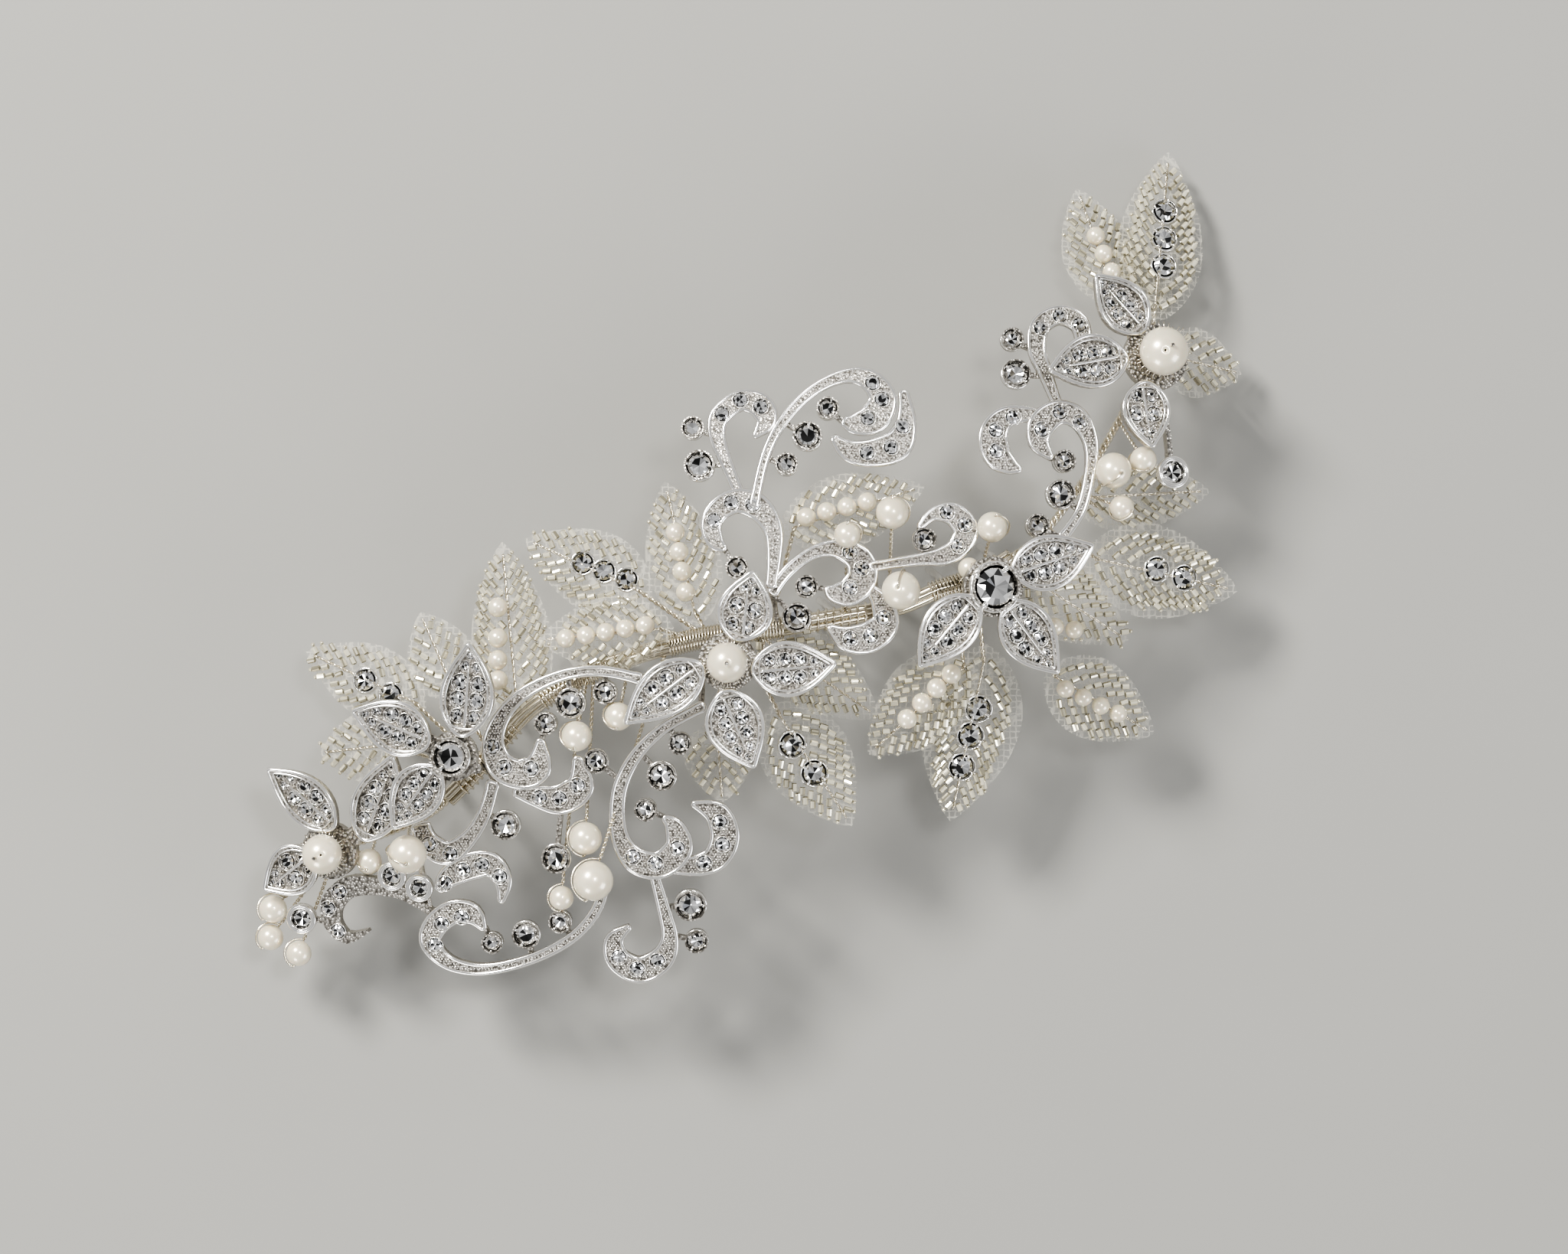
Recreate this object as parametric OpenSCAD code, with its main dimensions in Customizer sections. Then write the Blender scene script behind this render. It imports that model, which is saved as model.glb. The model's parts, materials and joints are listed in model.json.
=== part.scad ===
// Bridal side comb: cast silver flowers and scrolls, pearls and beaded net leaves on a wire comb.
// +Z is the side that shows. The comb stands on its tooth tips and on the lowest leaf tips, at z = 0.

/* [Arch] */
// Height of the leaf layer at the crown of the arch
crown_h = 27; // [26:0.5:32]
// How far the arch drops at the ends of the long axis
end_drop = 20; // [16:0.5:21]
// How far the arch drops at the long edges
side_drop = 6; // [3:0.5:7]

/* [Comb] */
// Number of teeth
tooth_count = 21; // [15:1:25]
// Diameter of a tooth
tooth_d = 1.3; // [1:0.1:1.6]
// Diameter of the wrapped wire bundle that makes the spine
spine_d = 3; // [2.4:0.1:3.4]
// Diameter of the wire that binds the spine
binding_d = 0.5; // [0.4:0.05:0.7]

/* [Castings] */
// Thickness of a scroll
scroll_t = 1.6; // [1.2:0.1:1.8]
// Thickness of a petal's floor
petal_floor = 1; // [0.8:0.1:1.2]
// Height of the rim over a petal's floor
rim_h = 1; // [0.8:0.1:1.2]
// Width of a petal's rim
rim_w = 0.7; // [0.5:0.05:0.8]
// Diameter of a pave stone on a scroll
stone_d = 2.4; // [2:0.1:2.4]
// Diameter of the largest stones on a petal
petal_stone_d = 2.6; // [2:0.1:2.7]

/* [Beaded leaves] */
// Thickness of the stiffened net
net_t = 0.4; // [0.3:0.05:0.5]
// Diameter of a row of tube beads
bead_d = 1.2; // [1:0.05:1.3]
// Distance between two rows of beads along a leaf
row_gap = 2.3; // [2.2:0.1:2.8]

/* [Pearls] */
// Diameter of the wire that a loose pearl turns on
wire_d = 0.3; // [0.25:0.01:0.32]
// Diameter of the hole through a loose pearl
pearl_bore_d = 0.4; // [0.4:0.01:0.44]

/* [Hidden] */
$fn = 32;
fit_gap = 0.03;      // air between a stone and its seat
cup_h = 1.8;         // height of a drop stone's cup
cup_floor = 0.8;     // thickness of the cup's floor and of its stem
lie = 31;            // angle of the long axis from +X
half_len = 95;       // distance along the long axis where the whole end_drop is reached
half_wid = 40;       // distance across it where the whole side_drop is reached
middle = [-0.6, 10.3]; // centre of the finished outline, which becomes the origin
leaf_step = 2.6;     // depth from one layer of leaves to the next
wire_lift = -1.5;    // spine and frame wire, from the leaf layer
scroll_lift = 3.6;   // underside of the scrolls
outline_steps = 10;  // stretches along one side of a leaf or petal
petal_curl = 0.12;   // how far a petal's tip is turned aside, as a share of its width
vein_w = 0.4;        // width of a petal's vein
vein_gap = 0.25;     // from a petal's axis to its nearest stone
arm_w = 3;           // width of the arm under the root of a petal
post_d = 1.8;        // diameter of the post under a flower
stem_d = 1;          // diameter of the stems under the scrolls
cup_stem_w = 0.8;    // width of the stem of a drop stone's cup
tooth_lean = 3;      // how far a tooth's tip lies from its root, along X and along Y
leaf_stem_d = 0.7;   // diameter of a leaf's stem
frame_d = 1.4;       // diameter of a frame wire
bead_sweep = 40;     // angle from square at which the rows of beads lie forward

// Centreline of the spine, from its left end to its right end
spine_route = [[-50, -28], [-46, -24], [-40, -17], [-36, -13], [-30, -9], [-22, -5.5], [-12, -2.5],
    [-4, -1], [4, 0], [10, 1], [16, 2], [24, 3.5], [30, 6], [36, 8], [42, 11.5]];

// Frame wires that carry the two end flowers beyond the comb
frame_routes = [
    [[-48, -26], [-53, -30.5], [-61, -34], [-69.1, -36.4]],
    [[40, 10.3], [47, 15], [54, 24], [60, 34], [65.6, 44.1]]];

// Leaves: base, tip, width, layer, stem end on the frame
leaves = [
    [[-54, -14], [-73.5, -3.5], 11, 1, [-45, -22.5]],
    [[-49, -12], [-54, 2.6], 10.4, 0, [-43, -20]],
    [[-41, -14], [-40.5, 14], 12, 1, [-38, -15]],
    [[-16, 6], [-37.5, 14], 12, 1, [-8, -1.7]],
    [[-10, 0], [-14, 24], 11, 2, [-7, -1.5]],
    [[-13, 1], [-35, -2.5], 11, -0.4, [-10, -2.2]],
    [[4, 16.5], [28, 22.5], 11, 0, [3, 0]],
    [[-58, -18], [-71, -21], 10.4, 0, [-46, -24]],
    [[-5, -15], [-5.5, -28.5], 10.4, 1, [-5, -1.2]],
    [[2, -13], [16.5, -32], 13, 0, [-2, -0.8]],
    [[35, -4], [19, -21], 13, 0, [33, 7]],
    [[1, -11], [20.5, -14], 10.4, 1, [0, -0.5]],
    [[39.5, -3], [31.5, -31.5], 15, 1, [36, 8]],
    [[47, -8], [66, -17], 12, 0, [39, 9.7]],
    [[45, 1], [61.5, -1.5], 12, 1, [41, 10.9]],
    [[54, 13], [79.5, 5.5], 14, 0, [48, 16.3]],
    [[57, 18], [75, 23], 10.4, 1, [52, 21.4]],
    [[67, 50], [68.3, 79], 13, 0, [65, 43]],
    [[61, 53], [53, 72.5], 11, 1, [64, 41.2]],
    [[65, 50], [62, 63], 10.4, 2, [64.5, 42]],
    [[67, 46], [80.5, 41.5], 10.4, 1, [65, 42.5]]];

// Centre rows of the leaves: leaf number, diameter, places
leaf_pearl_rows = [
    [2, 3.3, [[-41.3, 4.8], [-41.3, 1.6], [-41.3, -1.8], [-41.3, -5.4], [-41.2, -8.7]]],
    [4, 3.2, [[-12.6, 15.4], [-12, 12.2], [-11.5, 9], [-10.9, 5.6]]],
    [5, 3.1, [[-30.2, -1.8], [-26.9, -1.3], [-23.7, -0.8], [-20.5, -0.2], [-17.3, 0.3]]],
    [6, 3.2, [[8.5, 17.7], [11.8, 18.6], [15.1, 19.4], [18.4, 20.2]]],
    [10, 3.3, [[31.9, -7.3], [29.5, -9.6], [27.1, -12], [24.7, -14.6]]],
    [13, 3, [[50.4, -9.7], [53.4, -11.1], [56.3, -12.5], [59.2, -13.8]]],
    [14, 3, [[48.8, 0.3], [52, -0.2]]],
    [18, 3.1, [[56.1, 64.1], [57.4, 61.1], [58.7, 58.1]]]];
leaf_stone_rows = [
    [0, 3.6, [[-63.7, -8.7], [-59.4, -11.1]]],
    [3, 3.4, [[-27.8, 10.5], [-24.3, 9.2], [-20.6, 7.8]]],
    [9, 4, [[6.3, -19], [9.9, -23.6]]],
    [12, 4, [[36.7, -13.2], [35.4, -17.6], [34, -22.7]]],
    [15, 3.8, [[66, 9.6], [70.6, 8.2]]],
    [17, 3.8, [[68, 68.8], [67.8, 64.2], [67.6, 59.6]]]];

// Flowers: centre, centre diameter, petals as base, tip and width, post's place on the frame, and how high
// the petals' underside is over the leaf layer
flowers = [
    [[-69.1, -36.4], 6.6, [
        [[-67.8, -32.5], [-78.5, -22.5], 7.4],
        [[-63.2, -34.3], [-57.4, -20.8], 8.3],
        [[-71, -37.5], [-80, -42], 8]], [-68.6, -36.2], 7],
    [[-48.5, -20.8], 5.3, [
        [[-46.8, -17.5], [-44.8, -2.5], 8.5],
        [[-52, -18.8], [-64.3, -12.8], 8.3],
        [[-50.5, -22.5], [-58.5, -32], 8]], [-45, -22.8], 9.8],
    [[-4.1, -5.5], 6.6, [
        [[-2.8, -2], [0.6, 8.9], 8.5],
        [[-0.2, -6.6], [13.4, -6.4], 8.5],
        [[-4.5, -10], [-0.5, -22.7], 9],
        [[-8, -6], [-20.9, -14.8], 8]], [-3, -1], 8],
    [[38.8, 6.6], 7, [
        [[41.5, 9], [55, 12.7], 8.5],
        [[35.9, 4.8], [26, -5.8], 8.5],
        [[40.8, 4.3], [48.5, -7.7], 8.5]], [39.4, 10], 8],
    [[65.6, 44.1], 8, [
        [[63.1, 47.8], [55.9, 57.5], 8],
        [[60.5, 43.6], [47.4, 42.1], 8.5],
        [[63.4, 39.8], [63.8, 29], 7.7]], [65, 43.4], 8]];
pearl_flowers = [0, 2, 4];
chaton_flowers = [1, 3];

// Stones on a petal: two rows beside the vein and one at the tip, each as place along the petal as a share,
// place across it and diameter
function petal_room(s, w) = swell(s, petal_curl) * w / 2 - rim_w;
function petal_seats(length, w) = let (rows = length < 12 ? 3 : 4, step = 0.54 / (rows - 1)) concat(
    [for (k = [0:rows - 1]) for (side = [-1, 1]) let (s = 0.21 + k * step,
        d = min(0.95 * step * length, 0.88 * (petal_room(s, w) - vein_gap), petal_stone_d))
        [s, side * (vein_gap + d / 2), d]],
    [[0.87, 0, min(1.7 * petal_room(0.87, w), 0.12 * length)]]);

// Scrolls: centreline with widths, stones, drops as x, y and diameter
scroll_1 = [[[-52, -46.5, 1], [-57, -43.2, 2], [-62, -42, 3], [-66, -42.3, 3.6], [-68.8, -45, 3.8],
    [-68.7, -48.3, 3], [-66.3, -50.6, 2], [-62.8, -49.4, 0.5]],
    [[-67.5, -42.9], [-69.4, -45.7], [-67.8, -49.5]],
    [[-58.7, -40.3, 3.8], [-54.2, -42.2, 3.6], [-73.9, -47.5, 4]]];
scroll_2 = [[[-42, -25, 1.5], [-43.5, -30, 1.8], [-46, -34, 2.2], [-49.5, -36.5, 3.5],
    [-52.8, -35, 3.5], [-54, -32, 2.5]],
    [[-49.1, -36.7], [-52.6, -35.1]],
    [[-40.1, -32, 4.2]]];
scroll_3 = [[[-51, -42.5, 1], [-49.5, -40.5, 3], [-46, -38.7, 4], [-42.5, -38.3, 3.6],
    [-40.5, -41, 2.5], [-40.8, -44.3, 0.6]],
    [[-50, -41.4], [-47, -39.2], [-43.9, -38.3], [-41, -40.2]],
    []];
scroll_4 = [[[-43.8, -48.8, 0.5], [-45.5, -46.5, 3], [-48.5, -46, 3.5], [-51.5, -48, 3.5],
    [-52.6, -51.2, 3], [-49.5, -54.5, 2], [-43.7, -55.5, 1.4], [-36, -53.7, 1.2],
    [-29.5, -50.3, 1.2], [-25.5, -46, 1.2], [-24, -42, 1.2]],
    [[-50.7, -48], [-47.4, -46.8], [-51.8, -51.5]],
    [[-42.5, -51.2, 3], [-36.9, -49.8, 4], [-31.3, -47.6, 3.2]]];
scroll_5 = [[[-18, -8.2, 1.2], [-24, -7, 1.2], [-30, -7.5, 1.3], [-36, -10, 1.5], [-40, -13.5, 2],
    [-42, -18, 3], [-41, -22, 4], [-38, -23.7, 4.3], [-34.8, -22.5, 4.2], [-34.3, -18.3, 0.8]],
    [[-42.2, -19.3], [-40.2, -22.6], [-35.8, -22.8]],
    [[-33.5, -15.5, 3.2], [-29.5, -12.2, 4.3], [-23.8, -10.4, 3.4]]];
scroll_6 = [[[-38.5, -26.5, 1], [-35, -27.2, 3], [-31, -27.7, 4.4], [-27.8, -25.3, 4], [-28.3, -21, 1]],
    [[-34.5, -27.4], [-31.2, -27.6], [-28.3, -25.4]],
    [[-31.9, -37.4, 4.2]]];
scroll_7 = [[[-8, -12.5, 1.2], [-14, -15.8, 1.3], [-18.5, -20, 1.5], [-21.3, -25, 1.8], [-22, -30, 2],
    [-21.3, -34.5, 2.5], [-18.8, -37.7, 3.8], [-15, -38.3, 4], [-12, -35.5, 4], [-12.8, -32, 2.5],
    [-14.4, -30.7, 0.5]],
    [[-19.4, -37], [-15.8, -38.1], [-12.2, -35.6]],
    [[-11.8, -18.6, 3.2], [-14.8, -23.9, 4.2], [-17.4, -29.4, 3.2], [-25.4, -21.5, 3.5]]];
scroll_8 = [[[-9.7, -28.3, 0.5], [-6, -29.8, 3.5], [-4.6, -33.5, 4.2], [-6, -37, 3.8], [-9, -38.3, 3],
    [-13, -38.5, 2]],
    [[-5.4, -31.2], [-5, -34.9], [-8, -37.9]],
    []];
scroll_9 = [[[-16.4, -38.5, 1], [-14.5, -45.5, 1.6], [-13.6, -50, 2.2], [-14.8, -53.5, 3.5],
    [-18.5, -55.5, 4], [-22, -53.7, 3.5], [-22.6, -50.5, 2.5], [-20.2, -48.4, 0.5]],
    [[-21.9, -53.3], [-18.9, -55.3], [-15.6, -53.9]],
    [[-10.2, -44.9, 4.5], [-9.2, -50.8, 3.3]]];
scroll_10 = [[[-1.5, 19.8, 1], [-4.3, 26.5, 1.5], [-5.8, 31, 2.2], [-5.2, 34.3, 2.8], [-2, 36.6, 3],
    [1.2, 35.8, 3.5], [2.2, 33.2, 2.8], [0.4, 30.8, 0.4]],
    [[-5, 34.4], [-2, 36.7], [1.3, 35.6]],
    [[-9.8, 32.2, 3.2], [-8.7, 26.1, 4.4]]];
scroll_11 = [[[0.2, 19.6, 1], [2, 27.5, 1], [4.9, 33.3, 1.2], [9.3, 38, 1.4], [14.8, 40.6, 1.8],
    [18.8, 40, 3], [21, 37, 4], [19.5, 33.7, 4.5], [16.5, 32.8, 3], [14.7, 33.2, 1]],
    [[19.4, 39.5], [20.9, 36.8], [18.6, 33.7]],
    [[5.4, 26.3, 3.2], [8.8, 30.9, 4.2], [12.1, 35.4, 3.2]]];
scroll_12 = [[[24.3, 38, 1], [24.8, 33.5, 2.5], [23.2, 29.4, 4.5], [19, 28, 4], [15.5, 28.4, 3],
    [13, 30.5, 0.8]],
    [[24.2, 32.4], [22.3, 29], [18.4, 28.1]],
    []];
scroll_13 = [[[2.9, 6.5, 1.2], [3.4, 11, 1.8], [3.3, 15.5, 2.5], [1.2, 19, 3.5], [-2.3, 20.4, 3.5],
    [-5.5, 19, 3.2], [-6.8, 16.3, 2.8], [-6, 13.7, 2.2], [-4.6, 12.6, 0.6]],
    [[-6.3, 17.2], [-3.5, 20.1], [0, 19.8]],
    [[-2.6, 9.6, 3.2]]];
scroll_14 = [[[3, 5.5, 1.2], [5.5, 9, 1.4], [9.5, 12, 1.6], [13.5, 12.7, 2.5], [17, 11, 4],
    [17.6, 8, 4.4], [15.5, 5.7, 4], [13, 5.6, 2.5], [11.9, 6.3, 0.6]],
    [[15.6, 12.1], [17.5, 9.5], [15.6, 6.4]],
    [[8.6, 6.6, 3.2], [7, 1.6, 4.2]]];
scroll_15 = [[[12.3, 0, 0.6], [15, -1.7, 3.5], [18.5, -1.6, 4.5], [21.3, 0.8, 4], [20.4, 4.4, 2.6],
    [18.4, 6.6, 1]],
    [[15.6, -1.8], [18.9, -1.3], [21, 1.6]],
    []];
scroll_16 = [[[26.8, 16.2, 0.6], [29, 18.3, 1.6], [32.3, 18.3, 3.2], [34.3, 15.7, 3.6], [33, 12.9, 3],
    [30.5, 11.5, 2.5], [27, 11, 1.5], [19, 9.8, 1]],
    [[31.2, 18.6], [34.1, 16.6], [33, 13.2]],
    [[27.6, 14.2, 3.4]]];
scroll_17 = [[[49.5, 35.5, 1], [47.5, 41, 1.8], [46, 45, 2.5], [46.6, 49, 2.8], [49.8, 50.8, 2.8],
    [53, 49.5, 2.8], [53.6, 46.3, 2], [52.5, 44, 0.5]],
    [[46.7, 48.6], [49.8, 50.7], [53, 49.2]],
    [[42, 46.8, 3.2], [42.6, 41.1, 4.2]]];
scroll_18 = [[[47.8, 34.4, 1.2], [41.5, 34.3, 2.8], [38.9, 31.5, 4.2], [39.3, 28, 4.2], [41.3, 26.2, 2.6],
    [43.1, 25.5, 0.5]],
    [[42, 34], [39.2, 31.9], [39.3, 28.5]],
    []];
scroll_19 = [[[50, 14.5, 1.2], [53, 19, 1.2], [54.5, 25, 1.3], [54.7, 30, 2], [52.8, 33.8, 3],
    [49.5, 35, 3.5], [46.7, 33, 4], [46.2, 30, 3], [48.1, 27.6, 0.6]],
    [[46.6, 32.1], [49.6, 35], [52.9, 33.4]],
    [[50.4, 27, 3.2], [49.8, 21.6, 4.2], [46, 16.5, 3.3]]];
scroll_20 = [[[66.6, 37, 0.8], [67.5, 31, 0.8], [67.8, 27, 0.8]],
    [],
    [[68.2, 25.2, 4.3]]];

// Groups of scrolls cast together, and the stems that carry them: place on the scroll, place on the frame
left_scrolls = [scroll_1, scroll_2, scroll_3, scroll_4];
lower_scrolls = [scroll_5, scroll_6, scroll_7, scroll_8, scroll_9];
upper_scrolls = [scroll_10, scroll_11, scroll_12, scroll_13, scroll_14, scroll_15, scroll_16];
right_scrolls = [scroll_17, scroll_18, scroll_19, scroll_20];
all_scrolls = concat(left_scrolls, lower_scrolls, upper_scrolls, right_scrolls);
left_stems = [[[-42, -25], [-44, -22]], [[-53, -46], [-56, -32]]];
lower_stems = [[[-20, -8], [-22, -5.5]], [[-8.4, -12.7], [-8, -1.7]]];
upper_stems = [[[3, 6], [4, 0]], [[19.6, 9.9], [20, 2.7]]];
right_stems = [[[50, 14.6], [46, 14.2]], [[66.7, 36.5], [64, 41]]];

// Loose pearls: place, diameter, how much higher than the scrolls' underside, wire's foot
pearls = [
    [[-62.9, -38.3], 4.3, -1.4, [-62, -34.3]],
    [[-56.3, -36.9], 6.4, 2, [-56.5, -32]],
    [[-79, -46.3], 4.6, 0, [-70, -37]],
    [[-79.5, -51], 4.3, 0, [-69.6, -37.4]],
    [[-74.8, -53.6], 4.2, 0, [-69, -37.4]],
    [[-28.6, -17.6], 5, 0, [-27, -7.8]],
    [[-21.8, -14.4], 4.6, -0.6, [-20, -5]],
    [[-27.2, -34.2], 5.4, 0, [-26, -7.4]],
    [[-25.9, -41], 6.6, 2.4, [-14, -3.1]],
    [[-31.2, -44], 4, 0, [-28, -8.2]],
    [[15.2, 15], 4.3, 2, [15, 1.8]],
    [[22.5, 18.6], 5.3, 1.2, [22, 3.2]],
    [[23.9, 6], 6.3, 2.2, [26, 4.4]],
    [[38.8, 16.3], 5, 0, [37, 8.7]],
    [[35, 9.6], 3.6, -0.4, [33, 7]],
    [[58.7, 25.6], 5.9, 0, [55.5, 26.6]],
    [[63.7, 27.4], 4.4, -0.5, [60, 34]],
    [[60.1, 19.6], 4, 0, [52.6, 22.4]]];

// The arch: height of the leaf layer over a place, its slope there, and places laid out on its tangent plane
function along(p) = p.x * cos(lie) + p.y * sin(lie);
function across(p) = p.y * cos(lie) - p.x * sin(lie);
function arch(p) = crown_h - end_drop * pow(along(p) / half_len, 2)
    - side_drop * pow(across(p) / half_wid, 2);
function slope(p) = let (a = -2 * end_drop * along(p) / pow(half_len, 2),
    b = -2 * side_drop * across(p) / pow(half_wid, 2))
    [a * cos(lie) - b * sin(lie), a * sin(lie) + b * cos(lie)];
function tilt(p) = atan(norm(slope(p)));
function uphill(p) = slope(p) / norm(slope(p));
function laid(p, c) = let (g = uphill(c), d = p - c)
    [d.x * g.y - d.y * g.x, (d.x * g.x + d.y * g.y) / cos(tilt(c))];
function raised(p, lift) = [p.x, p.y, arch(p) + lift];
function flat_xy(p) = [p.x, p.y];

// A smooth curve through points: each stretch between two of them is cut into steps
function curve_at(p, i, t) = let (n = len(p) - 1, a = p[max(i - 1, 0)], b = p[i], c = p[min(i + 1, n)],
    d = p[min(i + 2, n)])
    0.5 * (2 * b + (c - a) * t + (2 * a - 5 * b + 4 * c - d) * t * t + (3 * b - a - 3 * c + d) * t * t * t);
function smooth(p, steps) = concat(
    [for (i = [0:len(p) - 2]) for (k = [0:steps - 1]) curve_at(p, i, k / steps)], [p[len(p) - 1]]);
function nearest(p, list) = let (gaps = [for (q = list) norm(q - p)]) list[search(min(gaps), gaps)[0]];

// Outline of a leaf or petal: half its width, as a share, at a share s of its length. A curl above 0 draws
// the tip in to a point and turns it aside.
function swell(s, curl = 0) = pow(sin(180 * pow(s, 0.8)), 0.85) * (1 - 3 * curl * pow(s, 10));
function leaf_point(base, tip, w, s, off, curl = 0) = let (run = tip - base, n = [-run.y, run.x] / norm(run))
    base + run * s + n * (off + curl * w * (pow(s, 4) - 0.3 * s));
function leaf_side(base, tip, w, side, inset, first, last, curl) = [for (k = [0:outline_steps])
    let (s = first + (last - first) * k / outline_steps)
    leaf_point(base, tip, w, s, side * max(swell(s, curl) * w / 2 - inset, 0.05), curl)];
function reversed(p) = [for (k = [len(p) - 1:-1:0]) p[k]];
function leaf_outline(base, tip, w, inset = 0, first = 0.02, last = 0.98, curl = 0) =
    concat(leaf_side(base, tip, w, 1, inset, first, last, curl),
        reversed(leaf_side(base, tip, w, -1, inset, first, last, curl)));

// Everything is laid out about the spine's middle, then moved so that the finished outline is centred
module placed() translate([-middle.x, -middle.y, 0]) children();

// Children are drawn on the plane that touches the arch over c, lifted off it
module on_arch(c, lift) {
    g = uphill(c);
    translate([c.x, c.y, arch(c) + lift]) rotate([0, 0, atan2(-g.x, g.y)]) rotate([tilt(c), 0, 0]) children();
}

// A straight rod between two points in space
module rod(a, b, d) {
    run = b - a;
    translate(a) rotate([0, acos(run.z / norm(run)), atan2(run.y, run.x)]) cylinder(d = d, h = norm(run));
}

// A round bar carried along points in space
module bar(p, d, sides = 8) {
    last = len(p) - 1;
    rings = [for (k = [0:last]) let (t = p[min(k + 1, last)] - p[max(k - 1, 0)],
        side = [-t.y, t.x, 0] / norm([t.x, t.y]), up = cross(t, side) / norm(t))
        for (j = [0:sides - 1]) p[k] + d / 2 * (side * cos(360 * j / sides) + up * sin(360 * j / sides))];
    walls = [for (k = [0:last - 1]) for (j = [0:sides - 1]) let (j2 = (j + 1) % sides)
        [k * sides + j, (k + 1) * sides + j, (k + 1) * sides + j2, k * sides + j2]];
    polyhedron(rings, concat([[for (j = [0:sides - 1]) j]], walls,
        [[for (j = [sides - 1:-1:0]) last * sides + j]]));
}

// Comb ------------------------------------------------------------------------

spine_line = [for (p = smooth(spine_route, 2)) raised(p, wire_lift)];

module comb_spine() color("silver") placed() bar(spine_line, spine_d);

// Teeth hang from the spine at even steps, lean a little and end in round tips
module comb_teeth() color("silver") placed() for (i = [0:tooth_count - 1]) {
    share = (i + 0.5) * (len(spine_route) - 1) / tooth_count;
    at = curve_at(spine_route, floor(share), share % 1);
    top = raised(at, wire_lift - spine_d / 4);
    tip_d = tooth_d + 0.1;
    foot = [at.x - tooth_lean, at.y + tooth_lean, tip_d / 2];
    rod(foot, top, tooth_d);
    translate(foot) sphere(d = tip_d);
}

// Rings of binding wire round the spine, in threes between the teeth
module spine_wraps() color("gainsboro") placed() for (i = [4:4:24]) {
    run = spine_line[i + 1] - spine_line[i - 1];
    translate(spine_line[i]) rotate([0, acos(run.z / norm(run)), atan2(run.y, run.x)]) for (k = [-1:1])
        translate([0, 0, k * (binding_d + fit_gap)])
            rotate_extrude() translate([spine_d / 2 + binding_d / 2 + fit_gap, 0]) circle(d = binding_d);
}

module frame_wires() color("silver") placed() for (route = frame_routes)
    bar([for (p = smooth(route, 3)) raised(p, wire_lift)], frame_d, 6);

// Beaded leaves ---------------------------------------------------------------

module leaf_frame(i) {
    leaf = leaves[i];
    on_arch((leaf[0] + leaf[1]) / 2, -leaf_step * leaf[3]) children();
}

function leaf_laid(i, p) = laid(p, (leaves[i][0] + leaves[i][1]) / 2);

// The net with the wire that its stem is made of
module leaf_net(i) color("ivory") placed() {
    leaf = leaves[i];
    leaf_frame(i) linear_extrude(net_t)
        polygon([for (p = leaf_outline(leaf[0], leaf[1], leaf[2])) leaf_laid(i, p)]);
    inner = leaf[0] + (leaf[1] - leaf[0]) * 0.12;
    rod(raised(inner, net_t / 2 - leaf_step * leaf[3]), raised(leaf[4], wire_lift), leaf_stem_d);
}

// Rows of tube beads that sweep forward from the axis, on both sides
module bead_rows(i) {
    base = leaf_laid(i, leaves[i][0]);
    run = leaf_laid(i, leaves[i][1]) - base;
    length = norm(run);
    has_row = len([for (r = concat(leaf_pearl_rows, leaf_stone_rows)) if (r[0] == i) r]) > 0;
    inner = has_row ? 2.6 : 0.9;
    leaf_frame(i) translate(concat(base, [net_t + bead_d / 2 + fit_gap])) rotate([0, 0, atan2(run.y, run.x)])
        for (x = [length * 0.14:row_gap:length * 0.8]) {
            reach = 0.9 * swell(min(x / length + 0.12, 0.95)) * leaves[i][2] / 2;
            if (reach > inner + 1) for (side = [-1, 1])
                translate([x, side * inner, 0]) rotate([0, 0, side * (90 - bead_sweep)]) rotate([0, 90, 0])
                    cylinder(d = bead_d, h = (reach - inner) / cos(bead_sweep), $fn = 16);
        }
}

module leaf_beads() color("lightyellow") placed() for (i = [0:len(leaves) - 1]) bead_rows(i);

module leaf_pearls() color("seashell") placed() for (row = leaf_pearl_rows) leaf_frame(row[0])
    for (p = row[2]) translate(concat(leaf_laid(row[0], p), [net_t + row[1] / 2 + fit_gap])) sphere(d = row[1]);

module leaf_stones() color("azure") placed() for (row = leaf_stone_rows) leaf_frame(row[0])
    for (p = row[2]) translate(concat(leaf_laid(row[0], p), [net_t + fit_gap])) brilliant(row[1]);

// A round stone: low girdle and bevelled crown
module brilliant(d) {
    cylinder(d = d, h = d * 0.2);
    translate([0, 0, d * 0.2]) cylinder(d1 = d, d2 = d * 0.6, h = d * 0.16);
}

// Flowers ---------------------------------------------------------------------

function flower_laid(f, p) = laid(p, flowers[f][0]);

// A leaf-shaped tray with a raised rim and a vein
module petal(f, p) {
    base = flower_laid(f, p[0]);
    tip = flower_laid(f, p[1]);
    run = tip - base;
    difference() {
        linear_extrude(petal_floor + rim_h) polygon(leaf_outline(base, tip, p[2], curl = petal_curl));
        translate([0, 0, petal_floor]) linear_extrude(rim_h + 1)
            polygon(leaf_outline(base, tip, p[2], rim_w, 0.1, 0.92, petal_curl));
    }
    translate(concat(base, [petal_floor / 2])) rotate([0, 0, atan2(run.y, run.x)])
        translate([0, -vein_w / 2, 0]) cube([norm(run) * 0.68, vein_w, petal_floor]);
}

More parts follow.
